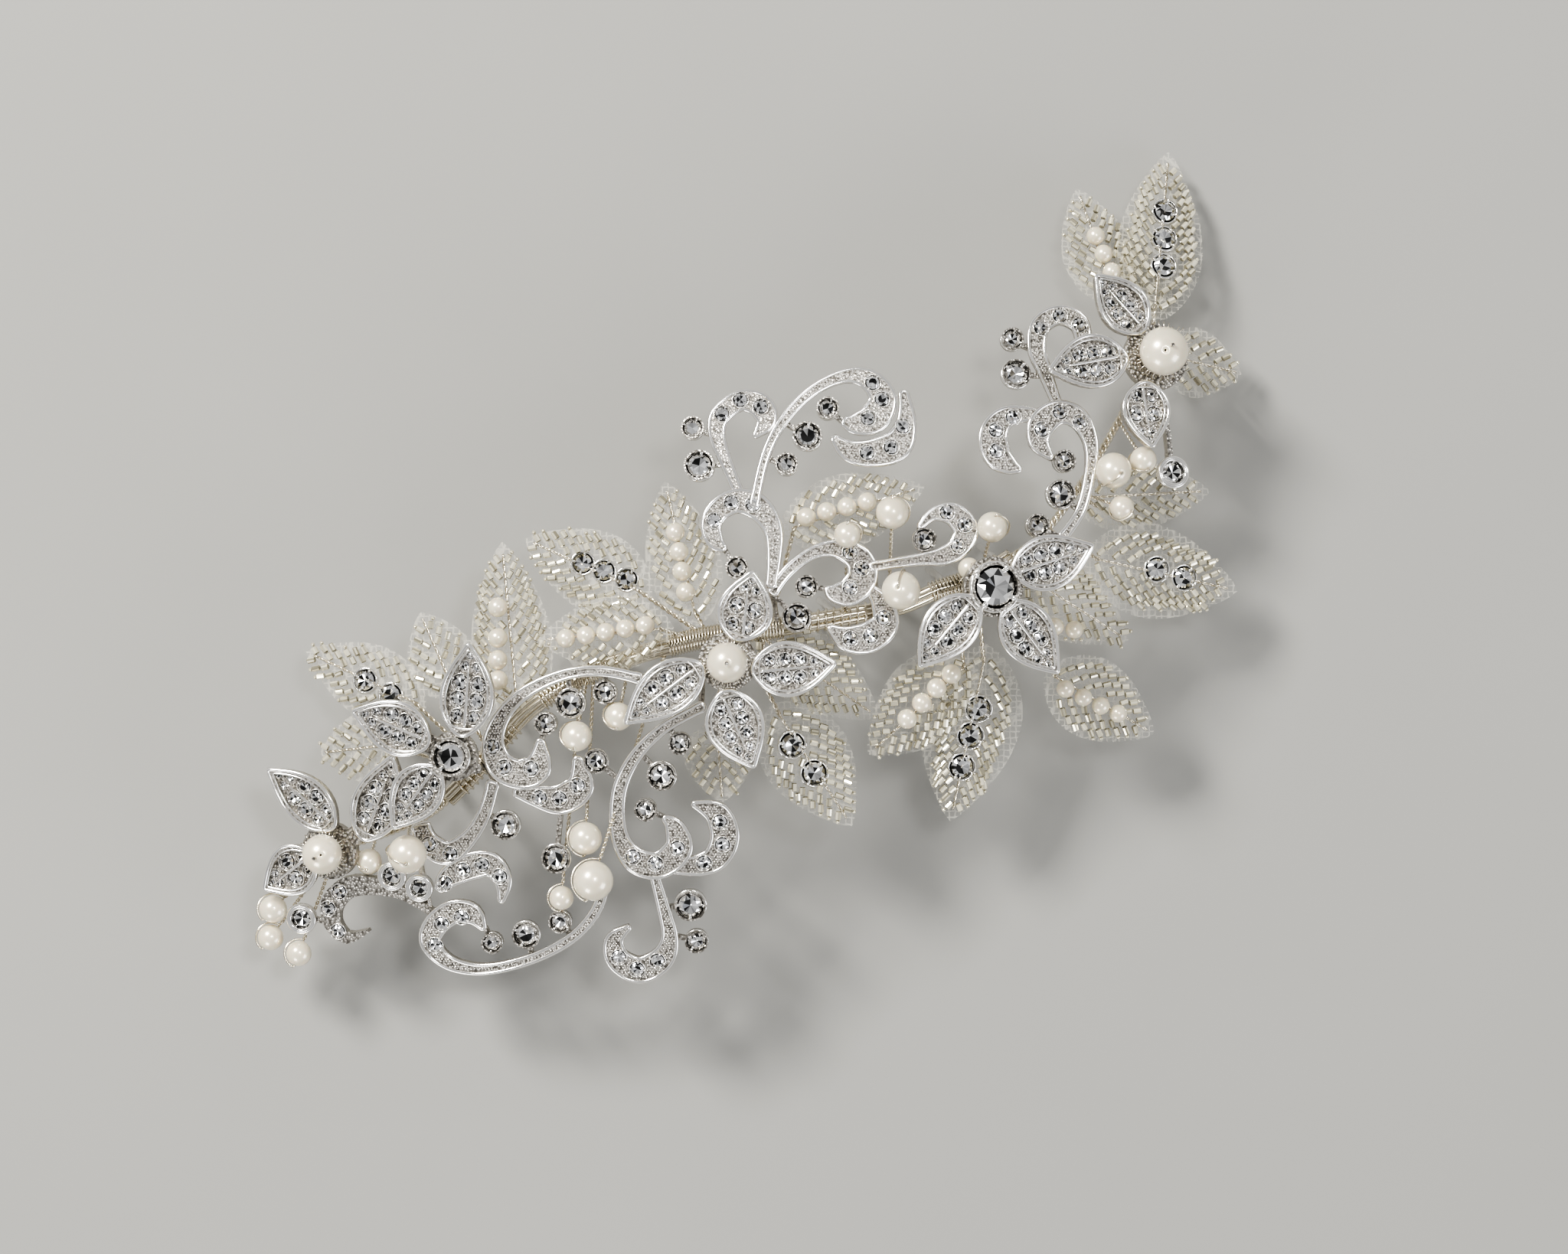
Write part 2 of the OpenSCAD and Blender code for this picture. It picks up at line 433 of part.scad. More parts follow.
// Petals and their arms on a backing disc, the centre's pin or cup, and the post down to the frame
module flower(f) color("silver") placed() {
    it = flowers[f];
    is_pearl = len(search(f, pearl_flowers)) > 0;
    on_arch(it[0], it[4]) {
        for (p = it[2]) {
            petal(f, p);
            linear_extrude(petal_floor * 0.6)
                ribbon([[0, 0, arm_w], concat(flower_laid(f, p[0] + 0.15 * (p[1] - p[0])), [arm_w])]);
        }
        translate([0, 0, -0.8]) cylinder(r = it[1] / 2 + 1.4, h = 1.4);
        if (is_pearl) cylinder(d = 0.6, h = it[1] + 1.2);
        else difference() {
            cylinder(d = it[1] + 1, h = 2.6);
            translate([0, 0, 1.4]) cylinder(d = it[1] + 2 * fit_gap, h = 2);
        }
    }
    rod(raised(it[3], wire_lift), raised(it[3], it[4] - 0.4), post_d);
}

// Pearls held on the flowers' pins
module flower_pearls() color("seashell") placed() for (f = pearl_flowers) on_arch(flowers[f][0], flowers[f][4])
    translate([0, 0, 0.65 + flowers[f][1] / 2]) difference() {
        sphere(d = flowers[f][1]);
        translate([0, 0, -flowers[f][1]]) cylinder(d = 0.7, h = 2 * flowers[f][1]);
    }

module flower_chatons() color("azure") placed() for (f = chaton_flowers) on_arch(flowers[f][0], flowers[f][4])
    translate([0, 0, 1.4 + fit_gap]) brilliant(flowers[f][1]);

// Scrolls ---------------------------------------------------------------------

function scroll_mid(s) = let (q = s[0][floor(len(s[0]) / 2)]) (flat_xy(s[0][0]) + flat_xy(q)) / 2;
function scroll_laid(s, p) = laid(p, scroll_mid(s));

// A flat ribbon along a centreline with a width at each point
module ribbon(q) {
    last = len(q) - 1;
    sides = [for (side = [1, -1]) [for (k = [0:last])
        let (t = flat_xy(q[min(k + 1, last)] - q[max(k - 1, 0)]))
        flat_xy(q[k]) + side * q[k].z / 2 * [-t.y, t.x] / norm(t)]];
    polygon(concat(sides[0], reversed(sides[1])));
}

// A scroll with its cups for drop stones, each on a thin stem, and the seats cut in the cups
module scroll(s) on_arch(scroll_mid(s), scroll_lift) {
    line = [for (q = s[0]) concat(scroll_laid(s, flat_xy(q)), [q.z])];
    difference() {
        union() {
            linear_extrude(scroll_t) ribbon(smooth(line, 3));
            for (drop = s[2]) {
                at = scroll_laid(s, flat_xy(drop));
                foot = nearest(at, [for (q = line) flat_xy(q)]);
                linear_extrude(cup_floor) ribbon([concat(foot, [cup_stem_w]), concat(at, [cup_stem_w])]);
                translate(at) cylinder(d = drop.z + 0.5, h = cup_h);
            }
        }
        for (drop = s[2]) translate(concat(scroll_laid(s, flat_xy(drop)), [cup_floor]))
            cylinder(d = drop.z - 0.1 + 2 * fit_gap, h = cup_h);
    }
}

module scroll_group(group, stems) color("silver") placed() {
    for (s = group) scroll(s);
    for (p = stems) rod(raised(p[0], scroll_lift + scroll_t / 2), raised(p[1], wire_lift), stem_d);
}

// Pave stones stand on the petals' floors and on the scrolls
module pave_stones() color("azure") placed() {
    for (f = [0:len(flowers) - 1]) on_arch(flowers[f][0], flowers[f][4]) for (p = flowers[f][2]) {
        base = flower_laid(f, p[0]);
        tip = flower_laid(f, p[1]);
        for (seat = petal_seats(norm(tip - base), p[2]))
            translate(concat(leaf_point(base, tip, p[2], seat.x, seat.y, petal_curl), [petal_floor + fit_gap]))
                brilliant(seat.z);
    }
    for (s = all_scrolls) on_arch(scroll_mid(s), scroll_lift)
        for (p = s[1]) translate(concat(scroll_laid(s, p), [scroll_t + fit_gap])) brilliant(stone_d);
}

module drop_stones() color("azure") placed() for (s = all_scrolls) on_arch(scroll_mid(s), scroll_lift)
    for (p = s[2]) translate(concat(scroll_laid(s, flat_xy(p)), [cup_floor + fit_gap])) brilliant(p.z - 0.1);

// Loose pearls ----------------------------------------------------------------

function pearl_centre(i) = raised(pearls[i][0], scroll_lift + pearls[i][1] / 2 + pearls[i][2]);
function wire_foot(i) = raised(pearls[i][3], wire_lift);
function wire_way(i) = (pearl_centre(i) - wire_foot(i)) / norm(pearl_centre(i) - wire_foot(i));

// One wire for each loose pearl, with a ball on its end
module pearl_wires() color("gainsboro") placed() for (i = [0:len(pearls) - 1]) {
    end = pearl_centre(i) + wire_way(i) * (pearls[i][1] / 2 + 0.45);
    rod(wire_foot(i), end, wire_d);
    translate(end) sphere(d = 0.8);
}

module loose_pearl(i) color("seashell") placed() difference() {
    translate(pearl_centre(i)) sphere(d = pearls[i][1]);
    rod(pearl_centre(i) - wire_way(i) * pearls[i][1], pearl_centre(i) + wire_way(i) * pearls[i][1], pearl_bore_d);
}

comb_spine();
comb_teeth();
spine_wraps();
frame_wires();
for (i = [0:len(leaves) - 1]) leaf_net(i);
leaf_beads();
leaf_pearls();
leaf_stones();
flower(0);  // flower_left
flower(1);  // flower_left_inner
flower(2);  // flower_centre
flower(3);  // flower_right_inner
flower(4);  // flower_right
flower_pearls();
flower_chatons();
pave_stones();
drop_stones();
scroll_group(left_scrolls, left_stems);  // scrolls_left
scroll_group(lower_scrolls, lower_stems);  // scrolls_lower
scroll_group(upper_scrolls, upper_stems);  // scrolls_upper
scroll_group(right_scrolls, right_stems);  // scrolls_right
pearl_wires();
for (i = [0:len(pearls) - 1]) loose_pearl(i);
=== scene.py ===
import json
import math

import bpy
import numpy as np
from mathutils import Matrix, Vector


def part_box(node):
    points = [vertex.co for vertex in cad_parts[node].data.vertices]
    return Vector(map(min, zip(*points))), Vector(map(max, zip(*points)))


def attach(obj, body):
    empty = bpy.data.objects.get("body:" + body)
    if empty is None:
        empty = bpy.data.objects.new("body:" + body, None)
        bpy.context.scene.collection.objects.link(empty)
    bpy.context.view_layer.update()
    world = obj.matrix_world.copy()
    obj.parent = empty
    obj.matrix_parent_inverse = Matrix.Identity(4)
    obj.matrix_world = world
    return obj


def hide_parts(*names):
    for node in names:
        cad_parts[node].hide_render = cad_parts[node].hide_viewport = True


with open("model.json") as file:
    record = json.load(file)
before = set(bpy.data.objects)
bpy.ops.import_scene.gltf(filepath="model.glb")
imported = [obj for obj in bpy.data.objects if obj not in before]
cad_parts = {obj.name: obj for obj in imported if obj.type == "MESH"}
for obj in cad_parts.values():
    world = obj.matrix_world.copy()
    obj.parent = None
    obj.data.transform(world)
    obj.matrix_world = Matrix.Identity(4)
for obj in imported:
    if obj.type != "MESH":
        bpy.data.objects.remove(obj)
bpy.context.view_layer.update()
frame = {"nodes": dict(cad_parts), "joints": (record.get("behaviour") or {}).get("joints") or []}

mm = 0.001


# small tools

# sRGB hex to the linear values that the shaders take
def linearColour(code, alpha=1.0):
    parts = [int(code[i:i + 2], 16) / 255 for i in (1, 3, 5)]
    return [p / 12.92 if p <= 0.04045 else ((p + 0.055) / 1.055) ** 2.4 for p in parts] + [alpha]


# A node of this kind, its properties set and its sockets set or linked
def addNode(tree, kind, settings=None, inputs=None):
    node = tree.nodes.new(kind)
    for key, value in (settings or {}).items():
        setattr(node, key, value)
    for key, value in (inputs or {}).items():
        if isinstance(value, bpy.types.NodeSocket):
            tree.links.new(value, node.inputs[key])
        else:
            node.inputs[key].default_value = value
    return node


def newMaterial(name):
    material = bpy.data.materials.new(name)
    material.use_nodes = True
    tree = material.node_tree
    return material, tree, tree.nodes["Principled BSDF"]


def unit(v):
    return v / np.maximum(np.linalg.norm(v, axis=-1, keepdims=True), 1e-12)


# A mesh from arrays, put on its body, with its finish and the CAD nodes that it stands for
def makePiece(name, verts, faces, material, replaces=(), smooth=True, body="comb"):
    mesh = bpy.data.meshes.new(name)
    mesh.from_pydata(verts.tolist(), [], faces.tolist() if hasattr(faces, "tolist") else faces)
    mesh.polygons.foreach_set("use_smooth", np.full(len(mesh.polygons), smooth))
    mesh.materials.append(material)
    mesh.update()
    piece = bpy.data.objects.new(name, mesh)
    bpy.context.scene.collection.objects.link(piece)
    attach(piece, body)
    if replaces:
        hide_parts(*replaces)
    return piece


# Several (verts, faces) as one; faces are arrays of one width
def joinParts(parts):
    counts = np.cumsum([0] + [len(v) for v, _ in parts[:-1]])
    return np.concatenate([v for v, _ in parts]), np.concatenate([f + c for (_, f), c in zip(parts, counts)])


# A CAD node's vertices with doubles merged, and its triangles
def cadMesh(name):
    mesh = frame["nodes"][name].data
    mesh.calc_loop_triangles()
    co = np.empty(len(mesh.vertices) * 3)
    mesh.vertices.foreach_get("co", co)
    tri = np.empty(len(mesh.loop_triangles) * 3, int)
    mesh.loop_triangles.foreach_get("vertices", tri)
    keys = np.round(co.reshape(-1, 3) * 1e6).astype(np.int64)
    _, first, back = np.unique(keys, axis=0, return_index=True, return_inverse=True)
    tri = back.reshape(-1)[tri].reshape(-1, 3)
    tri = tri[(tri[:, 0] != tri[:, 1]) & (tri[:, 1] != tri[:, 2]) & (tri[:, 0] != tri[:, 2])]
    return co.reshape(-1, 3)[first], tri


# Vertex arrays of the separate solids: each label spreads along the edges until it rests
def islands(verts, tri):
    label = np.arange(len(verts))
    while True:
        low = label[tri].min(1)
        fresh = label.copy()
        for k in range(3):
            np.minimum.at(fresh, tri[:, k], low)
        fresh = fresh[fresh]
        if (fresh == label).all():
            break
        label = fresh
    return [verts[label == k] for k in np.unique(label[tri[:, 0]])]


# Loops round the level tops. The largest upward triangle gives a plane, and every triangle that
# lies in it joins. Of the planes that share a normal, the one with the longest edge is kept. Each
# loop is (points, normal, signed area).
def flatTops(verts, tri):
    normal = np.cross(verts[tri[:, 1]] - verts[tri[:, 0]], verts[tri[:, 2]] - verts[tri[:, 0]])
    area = np.linalg.norm(normal, axis=1)
    normal = unit(normal)
    free = (normal[:, 2] > 0.75) & (area > 1e-9)
    planes = []
    while free.any():
        left = np.flatnonzero(free)
        lead = left[np.argmax(area[left])]
        if area[lead] < 5e-8:
            break
        n = normal[lead]
        level = verts[tri[lead, 0]] @ n
        inPlane = np.abs(verts @ n - level) < 0.02 * mm
        group = inPlane[tri].all(1) & (normal @ n > 0.3)
        free &= ~group
        free[lead] = False
        if area[group].sum() < 6e-6:
            continue
        loops = boundaryLoops(tri[group])
        length = sum(np.linalg.norm(verts[l] - verts[np.roll(l, -1)], axis=1).sum() for l in loops)
        planes.append((n, length, loops))
    found = []
    for n, length, loops in planes:
        if any(m @ n > 0.9995 and more > length for m, more, _ in planes):
            continue
        for loop in loops:
            p = verts[loop]
            c = p - p.mean(0)
            found.append((p, n, (np.cross(c, np.roll(c, -1, 0)) @ n).sum() / 2))
    return found


# Directed edges that only one triangle has, chained into loops
def boundaryLoops(tri):
    edges = np.concatenate([tri[:, [0, 1]], tri[:, [1, 2]], tri[:, [2, 0]]])
    have = set(map(tuple, edges.tolist()))
    ahead = {}
    for a, b in sorted(have):
        if (b, a) not in have:
            ahead.setdefault(a, []).append(b)
    loops = []
    while ahead:
        start = next(iter(ahead))
        loop, here = [start], None
        while here != start and ahead.get(loop[-1]):
            here = ahead[loop[-1]].pop()
            if not ahead[loop[-1]]:
                del ahead[loop[-1]]
            if here != start:
                loop.append(here)
        if here == start and len(loop) > 2:
            loops.append(np.array(loop))
    return loops


# Points at even steps along a Catmull-Rom curve through the path
def resample(path, step, closed=False):
    p = np.vstack([path[-1:], path, path[:2]]) if closed else np.vstack([path[:1], path, path[-1:]])
    t = np.linspace(0, 1, 12, endpoint=False)[:, None, None]
    a, b, c, d = p[:-3], p[1:-2], p[2:-1], p[3:]
    square, cube = 2 * a - 5 * b + 4 * c - d, 3 * b - a - 3 * c + d
    fine = 0.5 * (2 * b + (c - a) * t + square * t ** 2 + cube * t ** 3)
    fine = fine.transpose(1, 0, 2).reshape(-1, 3)
    fine = np.vstack([fine, fine[:1] if closed else path[-1:]])
    run = np.concatenate([[0], np.cumsum(np.linalg.norm(np.diff(fine, axis=0), axis=1))])
    count = max(int(round(run[-1] / step)), 4)
    at = np.linspace(0, run[-1], count + 1)
    if closed:
        at = at[:-1]
    return np.column_stack([np.interp(at, run, fine[:, k]) for k in range(3)])


# A round section carried along a path: P(k, a) = path(k) + r(k) (side cos a + rise sin a), where
# side is level and square to the path. Open ends are closed by rings of almost no radius.
def tube(path, radius, sides=8, closed=False, up=(0, 0, 1)):
    path = np.asarray(path, float)
    r = np.broadcast_to(np.asarray(radius, float), len(path)).copy()
    if closed:
        t = unit(np.roll(path, -1, 0) - np.roll(path, 1, 0))
    else:
        path = np.vstack([path[:1], path, path[-1:]])
        r = np.concatenate([[r[0] * 0.02], r, [r[-1] * 0.02]])
        t = unit(np.gradient(path, axis=0) + 1e-12)
        t[0], t[-1] = t[1], t[-2]
    side = unit(np.cross(t, np.asarray(up, float)) + 1e-9)
    rise = np.cross(side, t)
    a = np.linspace(0, 2 * math.pi, sides, endpoint=False)
    ring = side[:, None] * np.cos(a)[None, :, None] + rise[:, None] * np.sin(a)[None, :, None]
    verts = (path[:, None] + r[:, None, None] * ring).reshape(-1, 3)
    n = len(path)
    k, j = np.meshgrid(np.arange(n if closed else n - 1), np.arange(sides), indexing="ij")
    k2, j2 = (k + 1) % n, (j + 1) % sides
    faces = np.stack([k * sides + j, k * sides + j2, k2 * sides + j2, k2 * sides + j], -1).reshape(-1, 4)
    return verts, faces


# A profile (radius, height) turned about Z: P(k, a) = (r cos a, r sin a, z). A profile that comes
# back to its first point makes a ring.
def lathe(profile, sides):
    profile = np.asarray(profile, float)
    a = np.linspace(0, 2 * math.pi, sides, endpoint=False)
    r, z = profile[:, 0], profile[:, 1]
    verts = np.stack([r[:, None] * np.cos(a), r[:, None] * np.sin(a), np.repeat(z[:, None], sides, 1)], -1)
    k, j = np.meshgrid(np.arange(len(profile) - 1), np.arange(sides), indexing="ij")
    j2 = (j + 1) % sides
    faces = np.stack([k * sides + j, k * sides + j2, (k + 1) * sides + j2, (k + 1) * sides + j], -1)
    return verts.reshape(-1, 3), faces.reshape(-1, 4)


# A square basis for each normal, turned about it by its own angle; columns are x, y and the normal
def basisFor(normals, turn):
    normals = unit(np.asarray(normals, float))
    helper = np.where(np.abs(normals[:, 2:]) > 0.9, [[1.0, 0, 0]], [[0, 0, 1.0]])
    x = unit(np.cross(helper, normals))
    y = np.cross(normals, x)
    c, s = np.cos(turn)[:, None], np.sin(turn)[:, None]
    return np.stack([x * c + y * s, y * c - x * s, normals], -1)


# Copies of one (verts, faces): V = place + basis (size * v), for every copy at once
def scatter(shape, places, bases, sizes):
    verts, faces = shape
    sizes = np.asarray(sizes, float)
    sizes = sizes[:, None] * np.ones(3) if sizes.ndim == 1 else sizes
    moved = np.einsum("nij,nvj->nvi", bases, verts[None] * sizes[:, None]) + places[:, None]
    shift = np.arange(len(places))[:, None, None] * len(verts)
    return moved.reshape(-1, 3), (faces[None] + shift).reshape(-1, faces.shape[1])


rng = np.random.default_rng(7)

# camera, light and floor

view = {"lens": 150.0, "sensor": 36.0, "wide": 0.256, "aimX": 5.6 * mm, "aimY": -10.2 * mm, "aimZ": 22 * mm}
camera = bpy.data.objects.new("camera", bpy.data.cameras.new("camera"))
camera.data.lens = view["lens"]
camera.data.sensor_width = view["sensor"]
camera.location = (view["aimX"], view["aimY"], view["aimZ"] + view["wide"] * view["lens"] / view["sensor"])
camera.data.clip_start, camera.data.clip_end = 0.05, 20
bpy.context.scene.collection.objects.link(camera)
bpy.context.scene.camera = camera
bpy.context.scene.view_settings.look = "AgX - High Contrast"

lights = [  # name, place in metres, size, watts, colour
    ("window", (-0.62, 0.6, 0.85), 0.3, 17.0, "#FFFDF8"),
    ("overhead", (0.3, 0.25, 1.5), 0.22, 5.0, "#FFFFFF"),
    ("fill", (0.9, -0.55, 0.5), 0.5, 3.0, "#F4F7FF"),
    ("kicker", (-0.5, -0.9, 0.45), 0.35, 2.5, "#FFFFFF")]
for name, place, size, watts, tint in lights:
    lamp = bpy.data.lights.new(name, "AREA")
    lamp.size = size
    lamp.energy = watts
    lamp.color = linearColour(tint)[:3]
    holder = bpy.data.objects.new(name, lamp)
    holder.location = place
    aim = np.array([0, 0, 0.02]) - np.array(place)
    holder.rotation_mode = "QUATERNION"
    holder.rotation_quaternion = Vector(aim).to_track_quat("-Z", "Y")
    bpy.context.scene.collection.objects.link(holder)

world = bpy.data.worlds.new("studio")
bpy.context.scene.world = world
world.use_nodes = True
sky = world.node_tree
coords = addNode(sky, "ShaderNodeTexCoord")
height = addNode(sky, "ShaderNodeSeparateXYZ", inputs={"Vector": coords.outputs["Generated"]})
band = addNode(sky, "ShaderNodeValToRGB", inputs={"Fac": height.outputs["Z"]})
for place, grey in ((0.0, 0.62), (0.3, 0.95), (0.62, 0.8), (0.86, 0.5)):
    stop = band.color_ramp.elements.new(place) if place else band.color_ramp.elements[0]
    stop.position, stop.color = place, (grey, grey, grey, 1)
band.color_ramp.elements[-1].color = (0.85, 0.85, 0.85, 1)
sky.nodes["Background"].inputs["Strength"].default_value = 0.62
sky.links.new(band.outputs["Color"], sky.nodes["Background"].inputs["Color"])

floorMaterial, tree, shader = newMaterial("matt painted board")  # plain grey, no shine
grain = addNode(tree, "ShaderNodeTexNoise", inputs={"Scale": 60.0, "Detail": 3.0})
tone = addNode(tree, "ShaderNodeMixRGB", inputs={"Fac": grain.outputs["Fac"],
    "Color1": linearColour("#9A9995"), "Color2": linearColour("#A2A19D")})
tree.links.new(tone.outputs["Color"], shader.inputs["Base Color"])
shader.inputs["Roughness"].default_value = 0.85
floorMesh = bpy.data.meshes.new("floor")
reach = 3.0
floorMesh.from_pydata([(-reach, -reach, 0), (reach, -reach, 0), (reach, reach, 0), (-reach, reach, 0)],
    [], [(0, 1, 2, 3)])
floorMesh.materials.append(floorMaterial)
floor = bpy.data.objects.new("floor", floorMesh)
bpy.context.scene.collection.objects.link(floor)
print("stage set")

# materials

# The sunk ground of the castings: silver plate left satin and pitted by the mould, with painted
# shade in the pits
def castSilver():
    material, tree, shader = newMaterial("cast silver plate")
    coords = addNode(tree, "ShaderNodeTexCoord")
    pits = addNode(tree, "ShaderNodeTexVoronoi", inputs={"Vector": coords.outputs["Object"],
        "Scale": 1 / (0.45 * mm)})  # grains of about 0.45 mm
    cloud = addNode(tree, "ShaderNodeTexNoise", inputs={"Vector": coords.outputs["Object"],
        "Scale": 1 / (6 * mm), "Detail": 4.0})
    tone = addNode(tree, "ShaderNodeMixRGB", inputs={"Fac": cloud.outputs["Fac"],
        "Color1": linearColour("#D2CEC7"), "Color2": linearColour("#ABA7A0")})
    shine = addNode(tree, "ShaderNodeMapRange", inputs={"Value": pits.outputs["Distance"],
        "From Max": 0.6, "To Min": 0.2, "To Max": 0.42})
    bump = addNode(tree, "ShaderNodeBump", inputs={"Height": pits.outputs["Distance"], "Strength": 0.8,
        "Distance": 0.15 * mm})
    facing = addNode(tree, "ShaderNodeNewGeometry")
    height = addNode(tree, "ShaderNodeSeparateXYZ", inputs={"Vector": facing.outputs["Normal"]})
    sunk = addNode(tree, "ShaderNodeMapRange", inputs={"Value": height.outputs["Z"],
        "From Min": 0.5, "From Max": 0.85, "To Min": 0.1, "To Max": 0.8})  # painted shade is weakest on the outer walls, which face sideways
    hollow = addNode(tree, "ShaderNodeMapRange", inputs={"Value": pits.outputs["Distance"],
        "From Min": 0.35, "From Max": 0.75, "To Min": 0.0, "To Max": sunk.outputs["Result"]})
    # painted shade: the dark grey is mixed in over the pits, most on faces that look up
    shadedPits = addNode(tree, "ShaderNodeMixRGB", inputs={"Fac": hollow.outputs["Result"],
        "Color1": tone.outputs["Color"], "Color2": linearColour("#45413B")})
    tree.links.new(shadedPits.outputs["Color"], shader.inputs["Base Color"])
    tree.links.new(shine.outputs["Result"], shader.inputs["Roughness"])
    tree.links.new(bump.outputs["Normal"], shader.inputs["Normal"])
    shader.inputs["Metallic"].default_value = 1.0
    return material


# The rubbed edges of the same plate: mirror bright with fine hairlines
def polishedSilver():
    material, tree, shader = newMaterial("burnished silver plate")
    coords = addNode(tree, "ShaderNodeTexCoord")
    lines = addNode(tree, "ShaderNodeTexNoise", inputs={"Vector": coords.outputs["Object"],
        "Scale": 1 / (0.8 * mm), "Detail": 2.0})
    shine = addNode(tree, "ShaderNodeMapRange", inputs={"Value": lines.outputs["Fac"],
        "To Min": 0.06, "To Max": 0.22})
    tree.links.new(shine.outputs["Result"], shader.inputs["Roughness"])
    shader.inputs["Base Color"].default_value = linearColour("#FAF8F4")
    shader.inputs["Metallic"].default_value = 1.0
    return material


# Drawn and lacquered wire: silver with a champagne cast, drawn smooth
def craftWire():
    material, tree, shader = newMaterial("lacquered craft wire")
    coords = addNode(tree, "ShaderNodeTexCoord")
    cloud = addNode(tree, "ShaderNodeTexNoise", inputs={"Vector": coords.outputs["Object"],
        "Scale": 1 / (2.5 * mm), "Detail": 2.0})
    tone = addNode(tree, "ShaderNodeMixRGB", inputs={"Fac": cloud.outputs["Fac"],
        "Color1": linearColour("#F4EEE0"), "Color2": linearColour("#D2C9B4")})
    tree.links.new(tone.outputs["Color"], shader.inputs["Base Color"])
    shader.inputs["Metallic"].default_value = 1.0
    shader.inputs["Roughness"].default_value = 0.2
    return material


# Glass bead dipped in pearl essence: warm ivory, soft below a hard clear gloss
def pearlCoat():
    material, tree, shader = newMaterial("dipped ivory pearl")
    coords = addNode(tree, "ShaderNodeTexCoord")
    cloud = addNode(tree, "ShaderNodeTexNoise", inputs={"Vector": coords.outputs["Object"],
        "Scale": 1 / (3 * mm), "Detail": 3.0})
    tone = addNode(tree, "ShaderNodeMixRGB", inputs={"Fac": cloud.outputs["Fac"],
        "Color1": linearColour("#F8F0DB"), "Color2": linearColour("#EFE3C8")})
    tree.links.new(tone.outputs["Color"], shader.inputs["Base Color"])
    shader.inputs["Metallic"].default_value = 0.35
    shader.inputs["Roughness"].default_value = 0.3
    shader.inputs["Specular IOR Level"].default_value = 0.6
    shader.inputs["Coat Weight"].default_value = 1.0
    shader.inputs["Coat Roughness"].default_value = 0.04
    shader.inputs["Coat IOR"].default_value = 1.65
    shader.inputs["Subsurface Weight"].default_value = 0.12
    shader.inputs["Subsurface Scale"].default_value = 1.0 * mm
    return material


# Cut glass with a foil back: each facet is a small mirror, with a painted reflection bright or nearly black
def foiledCrystal():
    material, tree, shader = newMaterial("foil-backed crystal")
    tone = addNode(tree, "ShaderNodeAttribute", {"attribute_name": "facetLightTone"})
    tree.links.new(tone.outputs["Color"], shader.inputs["Base Color"])
    shader.inputs["Metallic"].default_value = 1.0
    shader.inputs["Roughness"].default_value = 0.05
    shader.inputs["Coat Weight"].default_value = 1.0
    shader.inputs["Coat Roughness"].default_value = 0.02
    shader.inputs["Coat IOR"].default_value = 1.58
    return material


# Clear glass tube with a silver lining, seen as a pale champagne bead, its facets painted with glints and
# shade
def linedGlass():
    material, tree, shader = newMaterial("silver-lined glass")
    facet = addNode(tree, "ShaderNodeAttribute", {"attribute_name": "facetLightTone"})
    tone = addNode(tree, "ShaderNodeMixRGB", inputs={"Fac": facet.outputs["Fac"],
        "Color1": linearColour("#6B644A"), "Color2": linearColour("#FFF9E2")})
    tree.links.new(tone.outputs["Color"], shader.inputs["Base Color"])
    shader.inputs["Metallic"].default_value = 0.6
    shader.inputs["Roughness"].default_value = 0.12
    shader.inputs["Coat Weight"].default_value = 1.0
    shader.inputs["Coat Roughness"].default_value = 0.03
    return material


# Stiffened nylon net: fine off-white threads with open cells of about 1 mm
def bridalNet():
    material, tree, shader = newMaterial("stiffened nylon net")
    coords = addNode(tree, "ShaderNodeTexCoord")
    cells = addNode(tree, "ShaderNodeTexVoronoi", {"feature": "DISTANCE_TO_EDGE"},
        {"Vector": coords.outputs["Object"], "Scale": 1 / (1.0 * mm), "Randomness": 0.25})
    thread = addNode(tree, "ShaderNodeMapRange", inputs={"Value": cells.outputs["Distance"],
        "From Min": 0.05, "From Max": 0.14, "To Min": 0.32, "To Max": 0.05})
    tree.links.new(thread.outputs["Result"], shader.inputs["Alpha"])
    shader.inputs["Base Color"].default_value = linearColour("#EDE9DA")
    shader.inputs["Roughness"].default_value = 0.6
    shader.inputs["Sheen Weight"].default_value = 0.3
    return material


silver, bright, wireFinish = castSilver(), polishedSilver(), craftWire()
pearlFinish, crystal, glassBead, net = pearlCoat(), foiledCrystal(), linedGlass(), bridalNet()
print("materials made")

# stones

stoneCut = {"table": 0.56, "crown": 0.34, "pit": 0.05, "girdle": 0.1, "sink": 0.12, "waist": 0.87,
    "edgeShade": 0.03}
